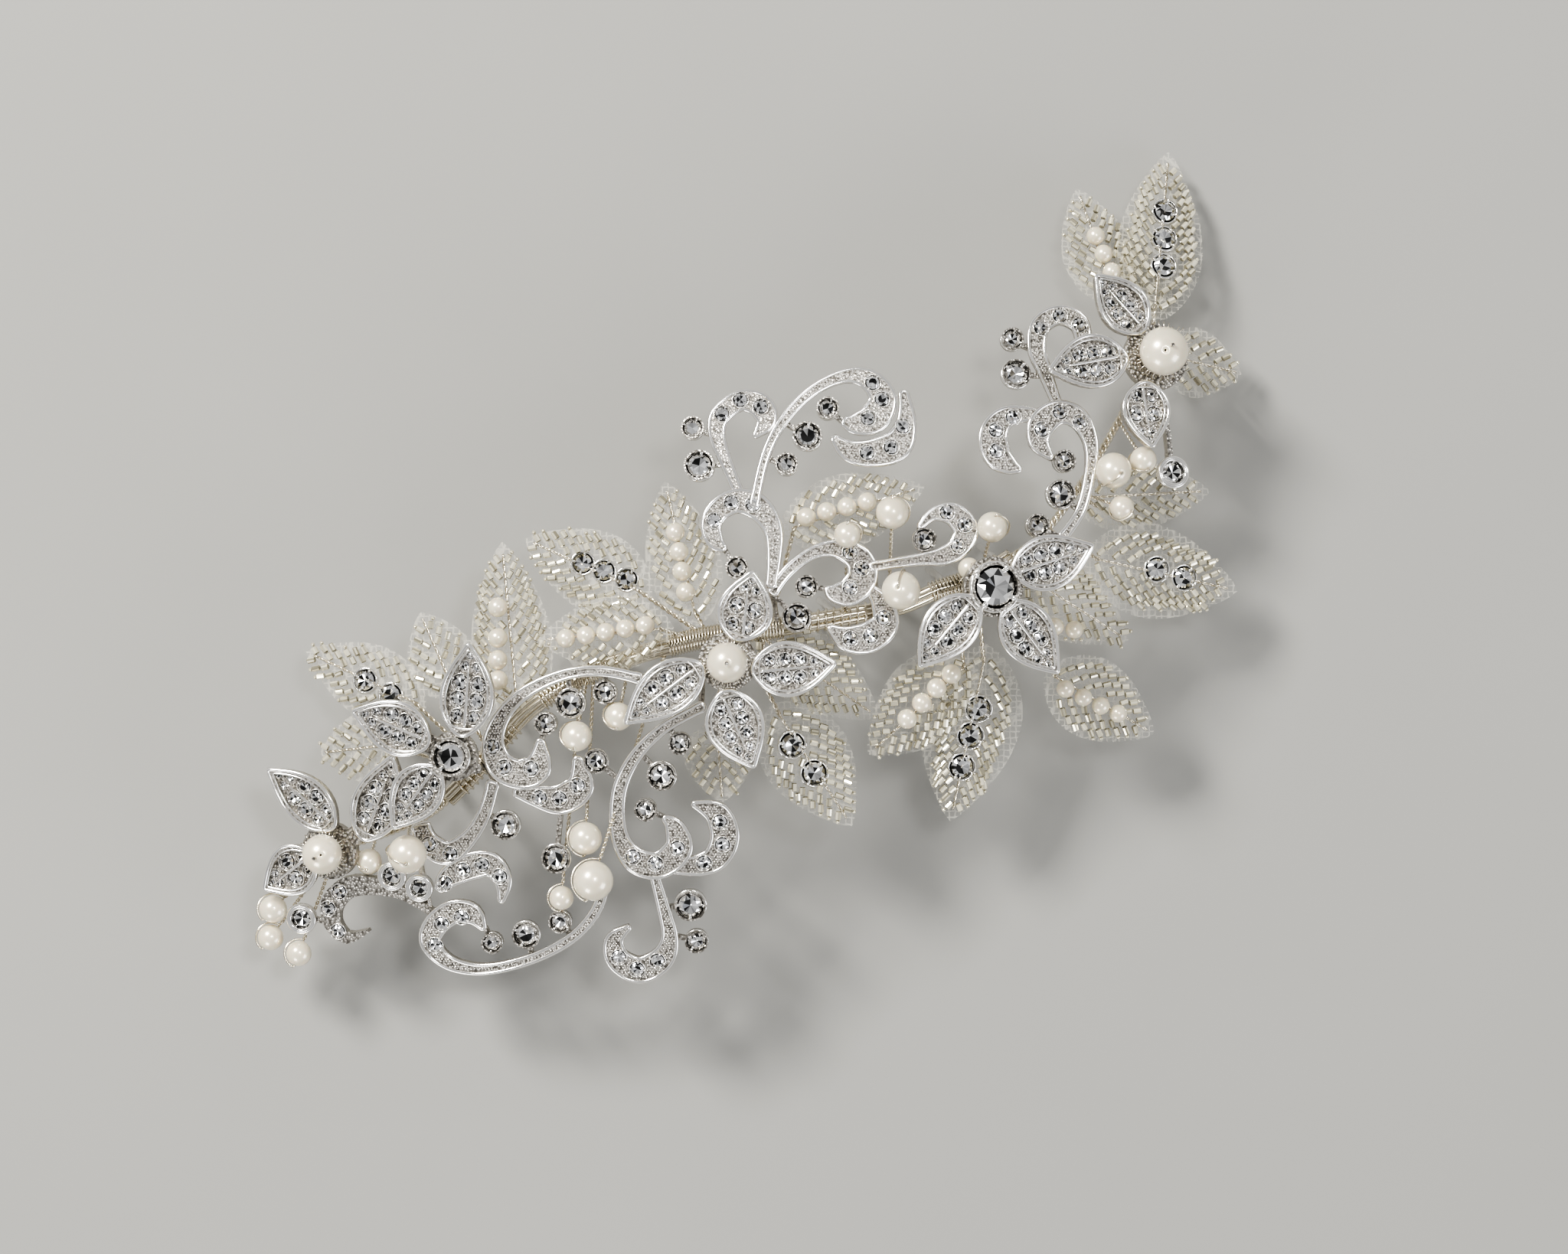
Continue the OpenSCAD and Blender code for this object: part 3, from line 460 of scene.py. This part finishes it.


# A unit stone: a wall up to the girdle, a crown of 24 facets to an eight-sided table, and in the
# table a shallow star of 16 facets, which carries the painted reflection of the pavilion's folded light
def cutStone():
    s = stoneCut
    a16 = np.linspace(0, 2 * math.pi, 16, endpoint=False)
    a8 = a16[::2]
    low = np.column_stack([np.cos(a16), np.sin(a16), np.full(16, -s["sink"])])
    girdle = low * [s["waist"], s["waist"], 1] + [0, 0, s["sink"] + s["girdle"]]
    table = np.column_stack([s["table"] * np.cos(a8), s["table"] * np.sin(a8), np.full(8, s["crown"])])
    mid = np.column_stack([np.cos(a8 + math.pi / 8), np.sin(a8 + math.pi / 8), np.zeros(8)])
    mid = mid * s["table"] * math.cos(math.pi / 8) + [0, 0, s["crown"] - 0.03]
    verts = np.vstack([low, girdle, table, mid, [[0, 0, s["pit"]]], [[0, 0, -s["sink"]]]])
    star, foot = len(verts) - 2, len(verts) - 1  # the two centre points
    faces = []
    for k in range(16):
        k2 = (k + 1) % 16
        faces += [(k, k2, 16 + k2), (k, 16 + k2, 16 + k), (k2, k, foot)]
    for k in range(8):
        g, g1, g2 = 16 + 2 * k, 17 + 2 * k, 16 + (2 * k + 2) % 16
        t, t2, m = 32 + k, 32 + (k + 1) % 8, 40 + k
        faces += [(g, g1, t), (g1, m, t), (g1, t2, m), (g1, g2, t2), (t, m, star), (m, t2, star)]
    return verts, np.array(faces)


oneStone = cutStone()


# One grey tone for each face, as a face attribute; on stones and beads it carries painted reflections and
# shade
def paintFaces(piece, tone):
    corners = np.empty(len(piece.data.polygons), int)
    piece.data.polygons.foreach_get("loop_total", corners)
    colours = np.ones((corners.sum(), 4))
    colours[:, :3] = np.repeat(tone, corners)[:, None]
    layer = piece.data.color_attributes.new("facetLightTone", "FLOAT_COLOR", "CORNER")
    layer.data.foreach_set("color", colours.astype(np.float32).ravel())


# Centre of the underside, normal and radius of every round stone in a CAD node
def stonesOf(node):
    rows = []
    for part in islands(*cadMesh(node)):
        mid = (part.max(0) + part.min(0)) / 2
        _, vectors = np.linalg.eigh(np.cov((part - part.mean(0)).T))
        n = vectors[:, 0] * np.sign(vectors[2, 0])
        along = (part - mid) @ n
        flat = (part - mid) - along[:, None] * n
        rows.append((mid + n * along.min(), n, np.linalg.norm(flat, axis=1).max()))
    return np.array([r[0] for r in rows]), np.array([r[1] for r in rows]), np.array([r[2] for r in rows])


# Cut stones in place of a node's plain ones, at the same size and place, with painted reflections and shade
# on their facets
def layStones(name, node, lift):
    base, n, r = stonesOf(node)
    turn = rng.uniform(0, math.pi / 4, len(r))
    bases = basisFor(n, turn)
    verts, faces = scatter(oneStone, base + n * (r * lift)[:, None], bases, r)
    piece = makePiece(name, verts, faces, crystal, [node], smooth=False)
    count = len(oneStone[1])
    tone = np.full((len(r), count), 0.75)
    # painted shade: walls and underside nearly black, a dark outline round each stone
    tone[:, :48] = stoneCut["edgeShade"]
    crown = 48 + (np.arange(8)[:, None] * 6 + np.arange(4)).ravel()
    wedge = rng.choice([1.0, 0.75, 0.02], (len(r), 8), p=[0.45, 0.15, 0.4])  # painted reflection: the folded light comes in bright and dark wedges
    # painted reflections: each crown facet bright, grey or dark at random
    tone[:, crown] = rng.choice([1.0, 0.8, 0.4, 0.06], (len(r), len(crown)), p=[0.5, 0.3, 0.1, 0.1])
    star = 48 + (np.arange(8)[:, None] * 6 + [4, 5]).ravel()
    tone[:, star] = np.repeat(np.roll(wedge, 3, 1), 2, 1) * rng.choice([1.0, 0.75], (len(r), len(star)))
    paintFaces(piece, tone.reshape(-1))
    return base, n, r, bases


seatShape = {"inner": 1.02, "outer": 1.2, "low": -0.15, "high": 0.2}
grainSize = 0.19


# A unit sphere as a lathe, with its poles closed by rings of almost no radius
def ball(rings, sides):
    a = np.linspace(-math.pi / 2, math.pi / 2, rings)
    r = np.maximum(np.cos(a), 1e-3)
    return lathe(np.column_stack([r, np.sin(a)]), sides)


# A rounded collar round every stone and four grains over its edge
def seatRings(name, places, wide=1.0):
    base, n, r, bases = places
    s = seatShape
    o = 1 + (s["outer"] - 1) * wide
    profile = [(s["inner"], s["low"]), (o, s["low"]), (o, s["high"] * 0.6), (o * 0.97, s["high"]),
        (s["inner"] + 0.02, s["high"]), (s["inner"], s["high"] * 0.5), (s["inner"], s["low"])]
    rings = scatter(lathe(profile, 20), base, bases, r)
    grain = ball(5, 7)
    corners = math.pi / 4 + np.arange(4) * math.pi / 2
    local = np.column_stack([np.cos(corners), np.sin(corners), np.full(4, s["high"] * 1.1)])
    at = base[:, None] + np.einsum("nij,kj->nki", bases, local) * r[:, None, None]
    grains = scatter(grain, at.reshape(-1, 3), np.repeat(bases, 4, 0), np.repeat(r * grainSize, 4))
    verts, faces = joinParts([rings, grains])
    return makePiece(name, verts, faces, bright)


pave = layStones("cut_pave_stones", "pave_stones", 0.02)
drops = layStones("cut_drop_stones", "drop_stones", 0.1)
sewn = layStones("cut_leaf_stones", "leaf_stones", 0.1)
solitaires = layStones("cut_flower_chatons", "flower_chatons", 0.15)
seatRings("pave_seats", pave, 0.75)
seatRings("drop_cup_rims", drops)
seatRings("leaf_stone_cups", sewn)
seatRings("flower_chaton_rims", solitaires, 1.0)
print("stones cut and set:", len(pave[2]), len(drops[2]), len(sewn[2]), len(solitaires[2]))

# castings: rims and granulation over the CAD bodies

casting = {"rim": 0.34 * mm, "innerRim": 0.17 * mm, "railStep": 0.35 * mm, "grainGap": 0.48 * mm,
    "grain": 0.18 * mm, "edge": 0.42 * mm, "vein": 0.3 * mm, "veinDrop": 0.32 * mm,
    "pearlRoom": 0.06 * mm}
flowerNodes = ["flower_left", "flower_left_inner", "flower_centre", "flower_right_inner", "flower_right"]
scrollNodes = ["scrolls_left", "scrolls_lower", "scrolls_upper", "scrolls_right"]


turningPearls = []  # centre and radius of each pearl that turns beside the castings
for joint in frame["joints"]:
    low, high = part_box("loose_pearl_" + joint["child"].split("_")[1])
    turningPearls.append((np.array(joint["pos_m"]), (high.x - low.x) / 2))


# Even-odd count of the loops' edges that lie to the right of each point
def insideLoops(points, loops):
    inside = np.zeros(len(points), bool)
    for loop in loops:
        a, b = loop, np.roll(loop, -1, 0)
        x, y = points[:, 0][:, None], points[:, 1][:, None]
        crosses = (a[:, 1] > y) != (b[:, 1] > y)
        slope = (b[:, 0] - a[:, 0]) / np.where(np.abs(b[:, 1] - a[:, 1]) < 1e-12, 1e-12, b[:, 1] - a[:, 1])
        inside ^= (crosses & (x < a[:, 0] + slope * (y - a[:, 1]))).sum(1) % 2 == 1
    return inside


# Shortest distance from each point to the loops' edges
def edgeDistance(points, loops):
    best = np.full(len(points), 1.0)
    for loop in loops:
        a, d = loop, np.roll(loop, -1, 0) - loop
        t = np.clip(((points[:, None] - a) * d).sum(2) / np.maximum((d * d).sum(1), 1e-15), 0, 1)
        gap = np.linalg.norm(points[:, None] - a - t[..., None] * d, axis=2)
        best = np.minimum(best, gap.min(1))
    return best


# Grains on a jittered hexagonal grid inside the loops, clear of the edges and of the stones
def granulate(loops, n, drop, stones):
    every = np.concatenate(loops)
    x = unit(np.cross([0, 1.0, 0], n))
    y = np.cross(n, x)
    origin = every.mean(0)
    flat = [np.column_stack([(l - origin) @ x, (l - origin) @ y]) for l in loops]
    low, high = np.concatenate(flat).min(0), np.concatenate(flat).max(0)
    gap = casting["grainGap"]
    u, v = np.meshgrid(np.arange(low[0], high[0], gap), np.arange(low[1], high[1], gap * 0.87))
    u = u + (np.arange(len(u)) % 2)[:, None] * gap / 2
    p = np.column_stack([u.ravel(), v.ravel()]) + rng.uniform(-0.12, 0.12, (u.size, 2)) * gap
    p = p[insideLoops(p, flat)]
    if len(p) == 0:
        return p.reshape(0, 3)
    p = p[edgeDistance(p, flat) > casting["edge"]]
    at = origin + p[:, :1] * x + p[:, 1:] * y - n * drop
    seat, _, r, _ = stones
    clear = (np.linalg.norm(at[:, None, :2] - seat[None, :, :2], axis=2) > r[None] * 1.2).all(1)
    return at[clear]


# The raised vein of a petal: from its root, which is the end nearer the flower's heart, to three
# quarters of its length, thinning as it goes
def veinOf(loop, n, heart):
    middle = loop.mean(0)
    axis = np.linalg.svd(loop - middle)[2][0]
    along = (loop - middle) @ axis
    axis = axis * (1 if np.linalg.norm(middle + axis * along.min() - heart)
        < np.linalg.norm(middle + axis * along.max() - heart) else -1)
    along = (loop - middle) @ axis
    t = np.linspace(0, 0.78, 14)
    path = middle + (along.min() + t * np.ptp(along))[:, None] * axis - n * casting["veinDrop"]
    return tube(path, casting["vein"] * (1 - 0.6 * t), 8, up=n)


# Rounded rails along the edges of the level tops, veins on petals, and grains between them
def dressCasting(node, rimDrop, floorDrop):
    tops = flatTops(*cadMesh(node))
    rails, grains, turns = [], [], []
    heart = np.array([sum(c) / 2 for c in zip(*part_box(node))])
    for n in {tuple(np.round(t[1], 4)) for t in tops}:
        same = [t for t in tops if np.allclose(t[1], n, atol=1e-3)]
        n = same[0][1]
        for points, _, signed in same:
            if np.linalg.norm(np.roll(points, -1, 0) - points, axis=1).sum() < 9 * mm:
                continue
            inner = signed < 0 and floorDrop > 0
            path = resample(points, casting["railStep"], closed=True) - n * rimDrop
            thick = casting["innerRim" if inner else "rim"]
            room = np.min([np.linalg.norm(path - c, axis=1) - r for c, r in turningPearls], axis=0)
            thick = np.clip(room - casting["pearlRoom"], 0.25 * thick, thick)  # filed thin beside a pearl
            rails.append(tube(path, thick, 8, closed=True, up=n))
            if inner:
                rails.append(veinOf(points, n, heart))
        rooms = [t[0] for t in same if floorDrop == 0 or t[2] < 0]
        at = granulate(rooms, n, floorDrop, pave)
        grains.append(at)
        turns.append(np.repeat(n[None], len(at), 0))
    verts, faces = joinParts(rails)
    makePiece(node + "_rims", verts, faces, bright)
    at, n = np.concatenate(grains), np.concatenate(turns)
    size = casting["grain"] * rng.uniform(0.8, 1.15, len(at))
    verts, faces = scatter(ball(4, 6), at, basisFor(n, rng.uniform(0, 1, len(at))), size)
    makePiece(node + "_grains", verts, faces, bright)
    return len(rails), len(at)


for node in scrollNodes:
    print(node, dressCasting(node, 0.1 * mm, 0.0))
for node in flowerNodes:
    print(node, dressCasting(node, 0.12 * mm, 1.0 * mm))
for node in scrollNodes + flowerNodes:
    frame["nodes"][node].data.materials.clear()
    frame["nodes"][node].data.materials.append(silver)
print("castings dressed")

# pearls

pearlShape = {"hole": 0.24 * mm, "rings": 18, "sides": 32}


# A sphere drilled through: the profile runs up the outside from hole to hole, then back down the
# bore
def boredPearl(radius, rings, sides):
    start = math.asin(min(pearlShape["hole"] / radius, 0.5))
    a = np.linspace(-math.pi / 2 + start, math.pi / 2 - start, rings)
    outer = np.column_stack([radius * np.cos(a), radius * np.sin(a)])
    lip = outer[-1] * [0.8, 0.985]
    bore = np.array([lip, lip * [1, -1]])
    return lathe(np.vstack([outer, bore, outer[:1]]), sides)


def oneBasis(axis):
    return basisFor(np.asarray(axis, float)[None], np.zeros(1))


loose = []
for joint in frame["joints"]:
    centre, axis = np.array(joint["pos_m"]), unit(np.array(joint["axis"]))
    number = joint["child"].split("_")[1]
    node = "loose_pearl_" + number
    low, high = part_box(node)
    radius = (high.x - low.x) / 2
    shape = boredPearl(radius, pearlShape["rings"], pearlShape["sides"])
    verts, faces = scatter(shape, centre[None], oneBasis(axis), np.ones(1))
    makePiece("strung_pearl_" + number, verts, faces, pearlFinish, [node], body=joint["child"])
    loose.append((centre, axis, radius))

parts = []
flowerPins = []
for part in islands(*cadMesh("flower_pearls")):
    centre = (part.max(0) + part.min(0)) / 2
    radius = (part.max(0) - part.min(0)).max() / 2
    rim = part[np.linalg.norm(part - centre, axis=1) < radius * 0.995]
    axis = unit(np.array([0, 0, 1.0]))
    if len(rim):
        top = rim[rim[:, 2] > centre[2]].mean(0) - centre
        axis = unit(top)
    flowerPins.append((centre, axis, radius))
    parts.append(scatter(boredPearl(radius, 20, 40), centre[None], oneBasis(axis), np.ones(1)))
verts, faces = joinParts(parts)
makePiece("flower_centre_pearls", verts, faces, pearlFinish, ["flower_pearls"])

parts = []
for part in islands(*cadMesh("leaf_pearls")):
    centre = (part.max(0) + part.min(0)) / 2
    radius = (part.max(0) - part.min(0)).min() / 2
    tilt = unit(np.array([*rng.uniform(-1, 1, 2), 0.3]))
    parts.append(scatter(boredPearl(radius, 12, 22), centre[None], oneBasis(tilt), np.ones(1)))
verts, faces = joinParts(parts)
makePiece("sewn_leaf_pearls", verts, faces, pearlFinish, ["leaf_pearls"])
print("pearls:", len(loose), len(flowerPins), len(parts))

# wires

wire = {"r": 0.15 * mm, "twist": 0.2 * mm, "pitch": 1.7 * mm, "step": 0.16 * mm, "clear": 0.3 * mm}


# Two strands wound round the line from a to b, in opposite phase
def twistedPair(a, b, r=None, spread=None, pitch=None):
    r, spread, pitch = r or wire["r"], spread or wire["twist"], pitch or wire["pitch"]
    run = np.linalg.norm(b - a)
    t = np.linspace(0, run, max(int(run / wire["step"] / 1.4), 8))
    frameAt = oneBasis((b - a) / run)[0]
    strands = []
    for phase in (0, math.pi):
        angle = 2 * math.pi * t / pitch + phase
        local = np.column_stack([spread * np.cos(angle), spread * np.sin(angle), t])
        strands.append(tube(a + local @ frameAt.T, r, 6, up=frameAt[:, 0]))
    return strands


parts = []
for part in islands(*cadMesh("pearl_wires")):
    mid = part.mean(0)
    near = min(loose, key=lambda p: np.linalg.norm(np.cross(mid - p[0], p[1])))
    centre, axis, radius = near
    along = (part - centre) @ axis
    foot = centre + axis * along.min()
    gap = radius + 0.5 * mm
    parts += twistedPair(foot, centre - axis * gap)
    tip = centre + axis * (radius + 0.25 * mm)
    parts.append(tube(np.linspace(centre - axis * gap, tip, 6), wire["r"], 6, up=oneBasis(axis)[0][:, 0]))
    side = unit(np.cross(axis, [0.15, 0.1, 1.0]))
    turn = np.linspace(0, math.pi, 20)[:, None]  # the end comes back round the pearl, as a half circle
    bow = centre + (radius + wire["clear"]) * (np.cos(turn) * axis + np.sin(turn) * side)
    bow[0], bow[-1] = tip, centre - axis * gap
    parts.append(tube(bow, wire["r"], 6, up=np.cross(axis, side)))
verts, faces = joinParts(parts)
makePiece("pearl_wire_twists", verts, faces, wireFinish, ["pearl_wires"])
print("pearl wires:", len(parts))

collar = {"count": 34, "r": 0.09 * mm, "inner": 0.7, "outer": 1.22, "drop": 0.42, "rise": 0.3 * mm}
parts = []
for centre, axis, radius in flowerPins:  # the fixing wire fans out from under each flower's pearl
    frameAt = oneBasis(axis)[0]
    for k in range(collar["count"]):
        angle = 2 * math.pi * (k + rng.uniform(-0.25, 0.25)) / collar["count"]
        reach = np.linspace(collar["inner"], collar["outer"] * rng.uniform(0.88, 1.06), 5)
        lift = collar["rise"] * np.sin(math.pi * np.linspace(0.1, 1, 5)) * rng.uniform(0.6, 1.3)
        local = np.column_stack([radius * reach * math.cos(angle), radius * reach * math.sin(angle),
            lift - radius * collar["drop"]])
        parts.append(tube(centre + local @ frameAt.T, collar["r"], 5, up=axis))
verts, faces = joinParts(parts)
makePiece("flower_pearl_collars", verts, faces, wireFinish)

# comb: spine, binding, frame wires and teeth

spine = {"strand": 0.62 * mm, "ring": 0.92 * mm, "strands": 5, "bind": 0.2 * mm, "reach": 1.72 * mm}


# The middles of a swept bar's rings, sorted along the bar's chord
def centreline(points, ringSize):
    middle = points.mean(0)
    chord = np.linalg.svd(points - middle)[2][0]
    chord = chord * np.sign(chord[0])
    order = np.argsort((points - middle) @ chord)
    return points[order].reshape(-1, ringSize, 3).mean(1)


spineVerts, _ = cadMesh("comb_spine")
spinePath = resample(centreline(spineVerts, 8), 0.5 * mm)


# Points carried round a path: path + offset (side cos angle + rise sin angle)
def alongPath(path, offset, angle):
    t = unit(np.gradient(path, axis=0))
    side = unit(np.cross(t, [0, 0, 1.0]))
    rise = np.cross(side, t)
    return path + offset * (side * np.cos(angle)[:, None] + rise * np.sin(angle)[:, None])


parts = []
for k in range(spine["strands"]):
    angle = np.full(len(spinePath), 2 * math.pi * k / spine["strands"] + 0.3)
    angle = angle + 0.25 * np.sin(np.arange(len(spinePath)) / 23 + k)
    parts.append(tube(alongPath(spinePath, spine["ring"], angle), spine["strand"], 10))
verts, faces = joinParts(parts)
makePiece("spine_wire_bundle", verts, faces, wireFinish, ["comb_spine"])

runs = [(0.03, 0.16, 1.1), (0.22, 0.34, 0.75), (0.44, 0.62, 0.5), (0.66, 0.8, 1.3), (0.86, 0.98, 0.6)]
parts = []
for start, stop, pitch in runs:  # shares of the spine's length, and the pitch of the coil in mm
    run = len(spinePath) - 1
    turns = (stop - start) * run * 0.5 / pitch
    t = np.linspace(start * run, stop * run, int(turns * 14))
    path = np.column_stack([np.interp(t, np.arange(run + 1), spinePath[:, k]) for k in range(3)])
    angle = 2 * math.pi * np.linspace(0, turns, len(t))
    parts.append(tube(alongPath(path, spine["reach"], angle), spine["bind"], 6, up=(0.3, -0.9, 0.1)))
verts, faces = joinParts(parts)
makePiece("spine_binding", verts, faces, wireFinish, ["spine_wraps"])

parts = []
for part in islands(*cadMesh("frame_wires")):
    path = resample(centreline(part, 6), 0.3 * mm)
    angle = np.linspace(0, 2 * math.pi * len(path) * 0.3 / 3.2, len(path))
    for k in range(3):
        parts.append(tube(alongPath(path, 0.36 * mm, angle + 2 * math.pi * k / 3), 0.34 * mm, 7))
verts, faces = joinParts(parts)
makePiece("frame_wire_twists", verts, faces, wireFinish, ["frame_wires"])

parts = []
for part in islands(*cadMesh("comb_teeth")):
    foot = part[part[:, 2] < part[:, 2].min() + 0.9 * mm].mean(0)
    top = part[part[:, 2] > part[:, 2].max() - 0.9 * mm].mean(0)
    t = np.linspace(0, 1, 22)
    bow = np.array([-1.0, 1.0, 0]) * 0.6 * mm
    path = foot + (top - foot) * t[:, None] + bow * np.sin(math.pi * t)[:, None]
    low = part[:, 2].min()
    path[0, 2] = low + 0.02 * mm
    roundEnd = np.sqrt(np.maximum(1 - (1 - t / 0.05) ** 2, 0.02))  # over the first twentieth
    r = 0.64 * mm * np.minimum(1, roundEnd * (t < 0.05) + (t >= 0.05))
    parts.append(tube(path, r, 12, up=(1, 0, 0)))
verts, faces = joinParts(parts)
makePiece("tapered_teeth", verts, faces, bright, ["comb_teeth"])
print("comb wired")

# beaded leaves

leafShape = {"rowStep": 2.65 * mm, "beadLong": 1.45 * mm, "beadWide": 0.92 * mm, "beadGap": 1.58 * mm,
    "lift": 0.62 * mm, "clear": 0.75 * mm, "hem": 0.35 * mm}


# Half the width of a leaf, as a share, at a share s of its length
def swell(s):
    return np.sin(math.pi * np.clip(s, 0, 1) ** 0.8) ** 0.85


# Base, tip, width and normal of a leaf's plate, and the foot of its stem wire
def leafFrame(node):
    verts, tri = cadMesh(node)
    normal = np.cross(verts[tri[:, 1]] - verts[tri[:, 0]], verts[tri[:, 2]] - verts[tri[:, 0]])
    normal[normal[:, 2] < 0] = 0
    n = unit(normal[np.argmax(np.linalg.norm(normal, axis=1))])
    level = verts[tri[np.argmax(np.linalg.norm(normal, axis=1)), 0]] @ n
    points = verts[np.abs(verts @ n - level) < 0.02 * mm]
    rod = verts[np.abs(verts @ n - level) > 0.6 * mm]
    middle = points.mean(0)
    axis = np.linalg.svd(points - middle)[2][0]
    along = (points - middle) @ axis
    foot = rod[np.argsort(-np.linalg.norm(rod - middle, axis=1))[:8]].mean(0)
    base, tip = sorted([points[np.argmin(along)], points[np.argmax(along)]],
        key=lambda end: np.linalg.norm(end - foot))
    width = np.ptp((points - middle) @ np.cross(n, unit(tip - base)))
    grow = (tip - base) * 0.021
    return base - grow, tip + grow, width, n, foot


tubeBead = lathe([(0.0005, -0.5), (0.36, -0.5), (0.5, -0.42), (0.5, 0.42), (0.36, 0.5), (0.0005, 0.5)], 9)
stopBead = ball(6, 9)
centres = np.concatenate([np.array([(p.max(0) + p.min(0)) / 2 for p in islands(*cadMesh("leaf_pearls"))]),
    stonesOf("leaf_stones")[0]])
reachOf = np.concatenate([np.array([np.ptp(p[:, 0]) / 2 for p in islands(*cadMesh("leaf_pearls"))]),
    stonesOf("leaf_stones")[2] * 1.15])
beadPlaces, beadAxes, beadSizes, stopPlaces, stemParts = [], [], [], [], []
leafNodes = sorted((n for n in frame["nodes"] if n.startswith("leaf_net_")),
    key=lambda n: int(n.split("_")[2]))
for node in leafNodes:
    base, tip, width, n, foot = leafFrame(node)
    length = np.linalg.norm(tip - base)
    x = (tip - base) / length
    y = np.cross(n, x)
    s = np.linspace(0.0, 1.0, 25)
    t = np.linspace(-1, 1, 9)
    half = swell(s) * width / 2 * 1.06 + leafShape["hem"] * np.sin(math.pi * s) ** 0.3
    u = length * s[:, None] + 0 * t
    v = half[:, None] * t
    ripple = 0.12 * mm * np.sin(s * 22)[:, None] * np.abs(t) ** 2
    grid = base + u[..., None] * x + v[..., None] * y + ripple[..., None] * n
    k, j = np.meshgrid(np.arange(24), np.arange(8), indexing="ij")
    faces = np.stack([k * 9 + j, (k + 1) * 9 + j, (k + 1) * 9 + j + 1, k * 9 + j + 1], -1).reshape(-1, 4)
    number = node.split("_")[2]
    leaf = makePiece("net_leaf_" + number, grid.reshape(-1, 3), faces, net, [node])
    stemParts += twistedPair(foot, base + x * 0.1 * length + n * 0.1 * mm, 0.2 * mm, 0.22 * mm, 2.4 * mm)
    stemParts += twistedPair(base + x * 0.1 * length + n * 0.3 * mm, base + x * 0.93 * length + n * 0.3 * mm,
        0.13 * mm, 0.14 * mm, 2.4 * mm)
    for side in (-1, 1):
        for start in np.arange(0.07 * length, 0.9 * length, leafShape["rowStep"]):
            share = start / length
            angle = math.radians(62 - 26 * share)
            d = np.arange(0, 11 * mm, leafShape["beadGap"]) + leafShape["clear"] + leafShape["beadGap"] / 2
            bend = angle - d / (22 * mm)
            along = start + d * np.cos(bend)
            out = d * np.sin(bend)
            ok = out + 0.3 * mm < swell(along / length) * width / 2
            ok &= along < length * 0.99
            if not ok.any():
                continue
            last = np.flatnonzero(ok)[-1]
            arch = leafShape["lift"] + 0.25 * mm * np.sin(math.pi * np.clip(out / (width / 2), 0, 1))
            place = base + along[:, None] * x + (side * out)[:, None] * y + arch[:, None] * n
            near = np.linalg.norm(place[:, None] - centres[None], axis=2) < reachOf[None] + 0.45 * mm
            ok &= ~near.any(1)
            heading = np.cos(bend)[:, None] * x + (side * np.sin(bend))[:, None] * y
            beadPlaces.append(place[ok])
            beadAxes.append(heading[ok] + rng.normal(0, 0.05, (ok.sum(), 3)))
            if rng.uniform() < 0.6:
                end = d[last] + leafShape["beadGap"] * 0.72
                stop = base + (start + end * math.cos(bend[last])) * x + side * end * math.sin(bend[last]) * y
                stopPlaces.append(stop + n * 0.4 * mm)
beadPlaces, beadAxes = np.concatenate(beadPlaces), np.concatenate(beadAxes)
count = len(beadPlaces)
sizes = np.column_stack([np.full(count, leafShape["beadWide"]), np.full(count, leafShape["beadWide"]),
    leafShape["beadLong"] * rng.uniform(0.92, 1.05, count)])
verts, faces = scatter(tubeBead, beadPlaces, basisFor(beadAxes, rng.uniform(0, 1, count)), sizes)
tubes = makePiece("leaf_tube_beads", verts, faces, glassBead, ["leaf_beads"], smooth=False)
wall = len(tubeBead[1]) // 5  # faces in each of the bead's five bands
# painted reflections: each facet of a bead bright or dark at random
tone = rng.choice([1.0, 0.85, 0.6, 0.3], (count, 5 * wall), p=[0.4, 0.25, 0.2, 0.15])
tone[:, :2 * wall] *= 0.25  # painted shade: the ends and their bevels darkened to stand for the dark bore
tone[:, 3 * wall:] *= 0.25
paintFaces(tubes, tone.reshape(-1))
stopPlaces = np.array(stopPlaces)
verts, faces = scatter(stopBead, stopPlaces, basisFor(np.tile([0, 0, 1.0], (len(stopPlaces), 1)),
    np.zeros(len(stopPlaces))), np.full(len(stopPlaces), 0.36 * mm))
stops = makePiece("leaf_stop_beads", verts, faces, glassBead)
paintFaces(stops, np.full(len(faces), 0.7))
verts, faces = joinParts(stemParts)
makePiece("leaf_stem_wires", verts, faces, wireFinish)
print("leaves beaded:", len(leafNodes), "beads", count, "stops", len(stopPlaces))
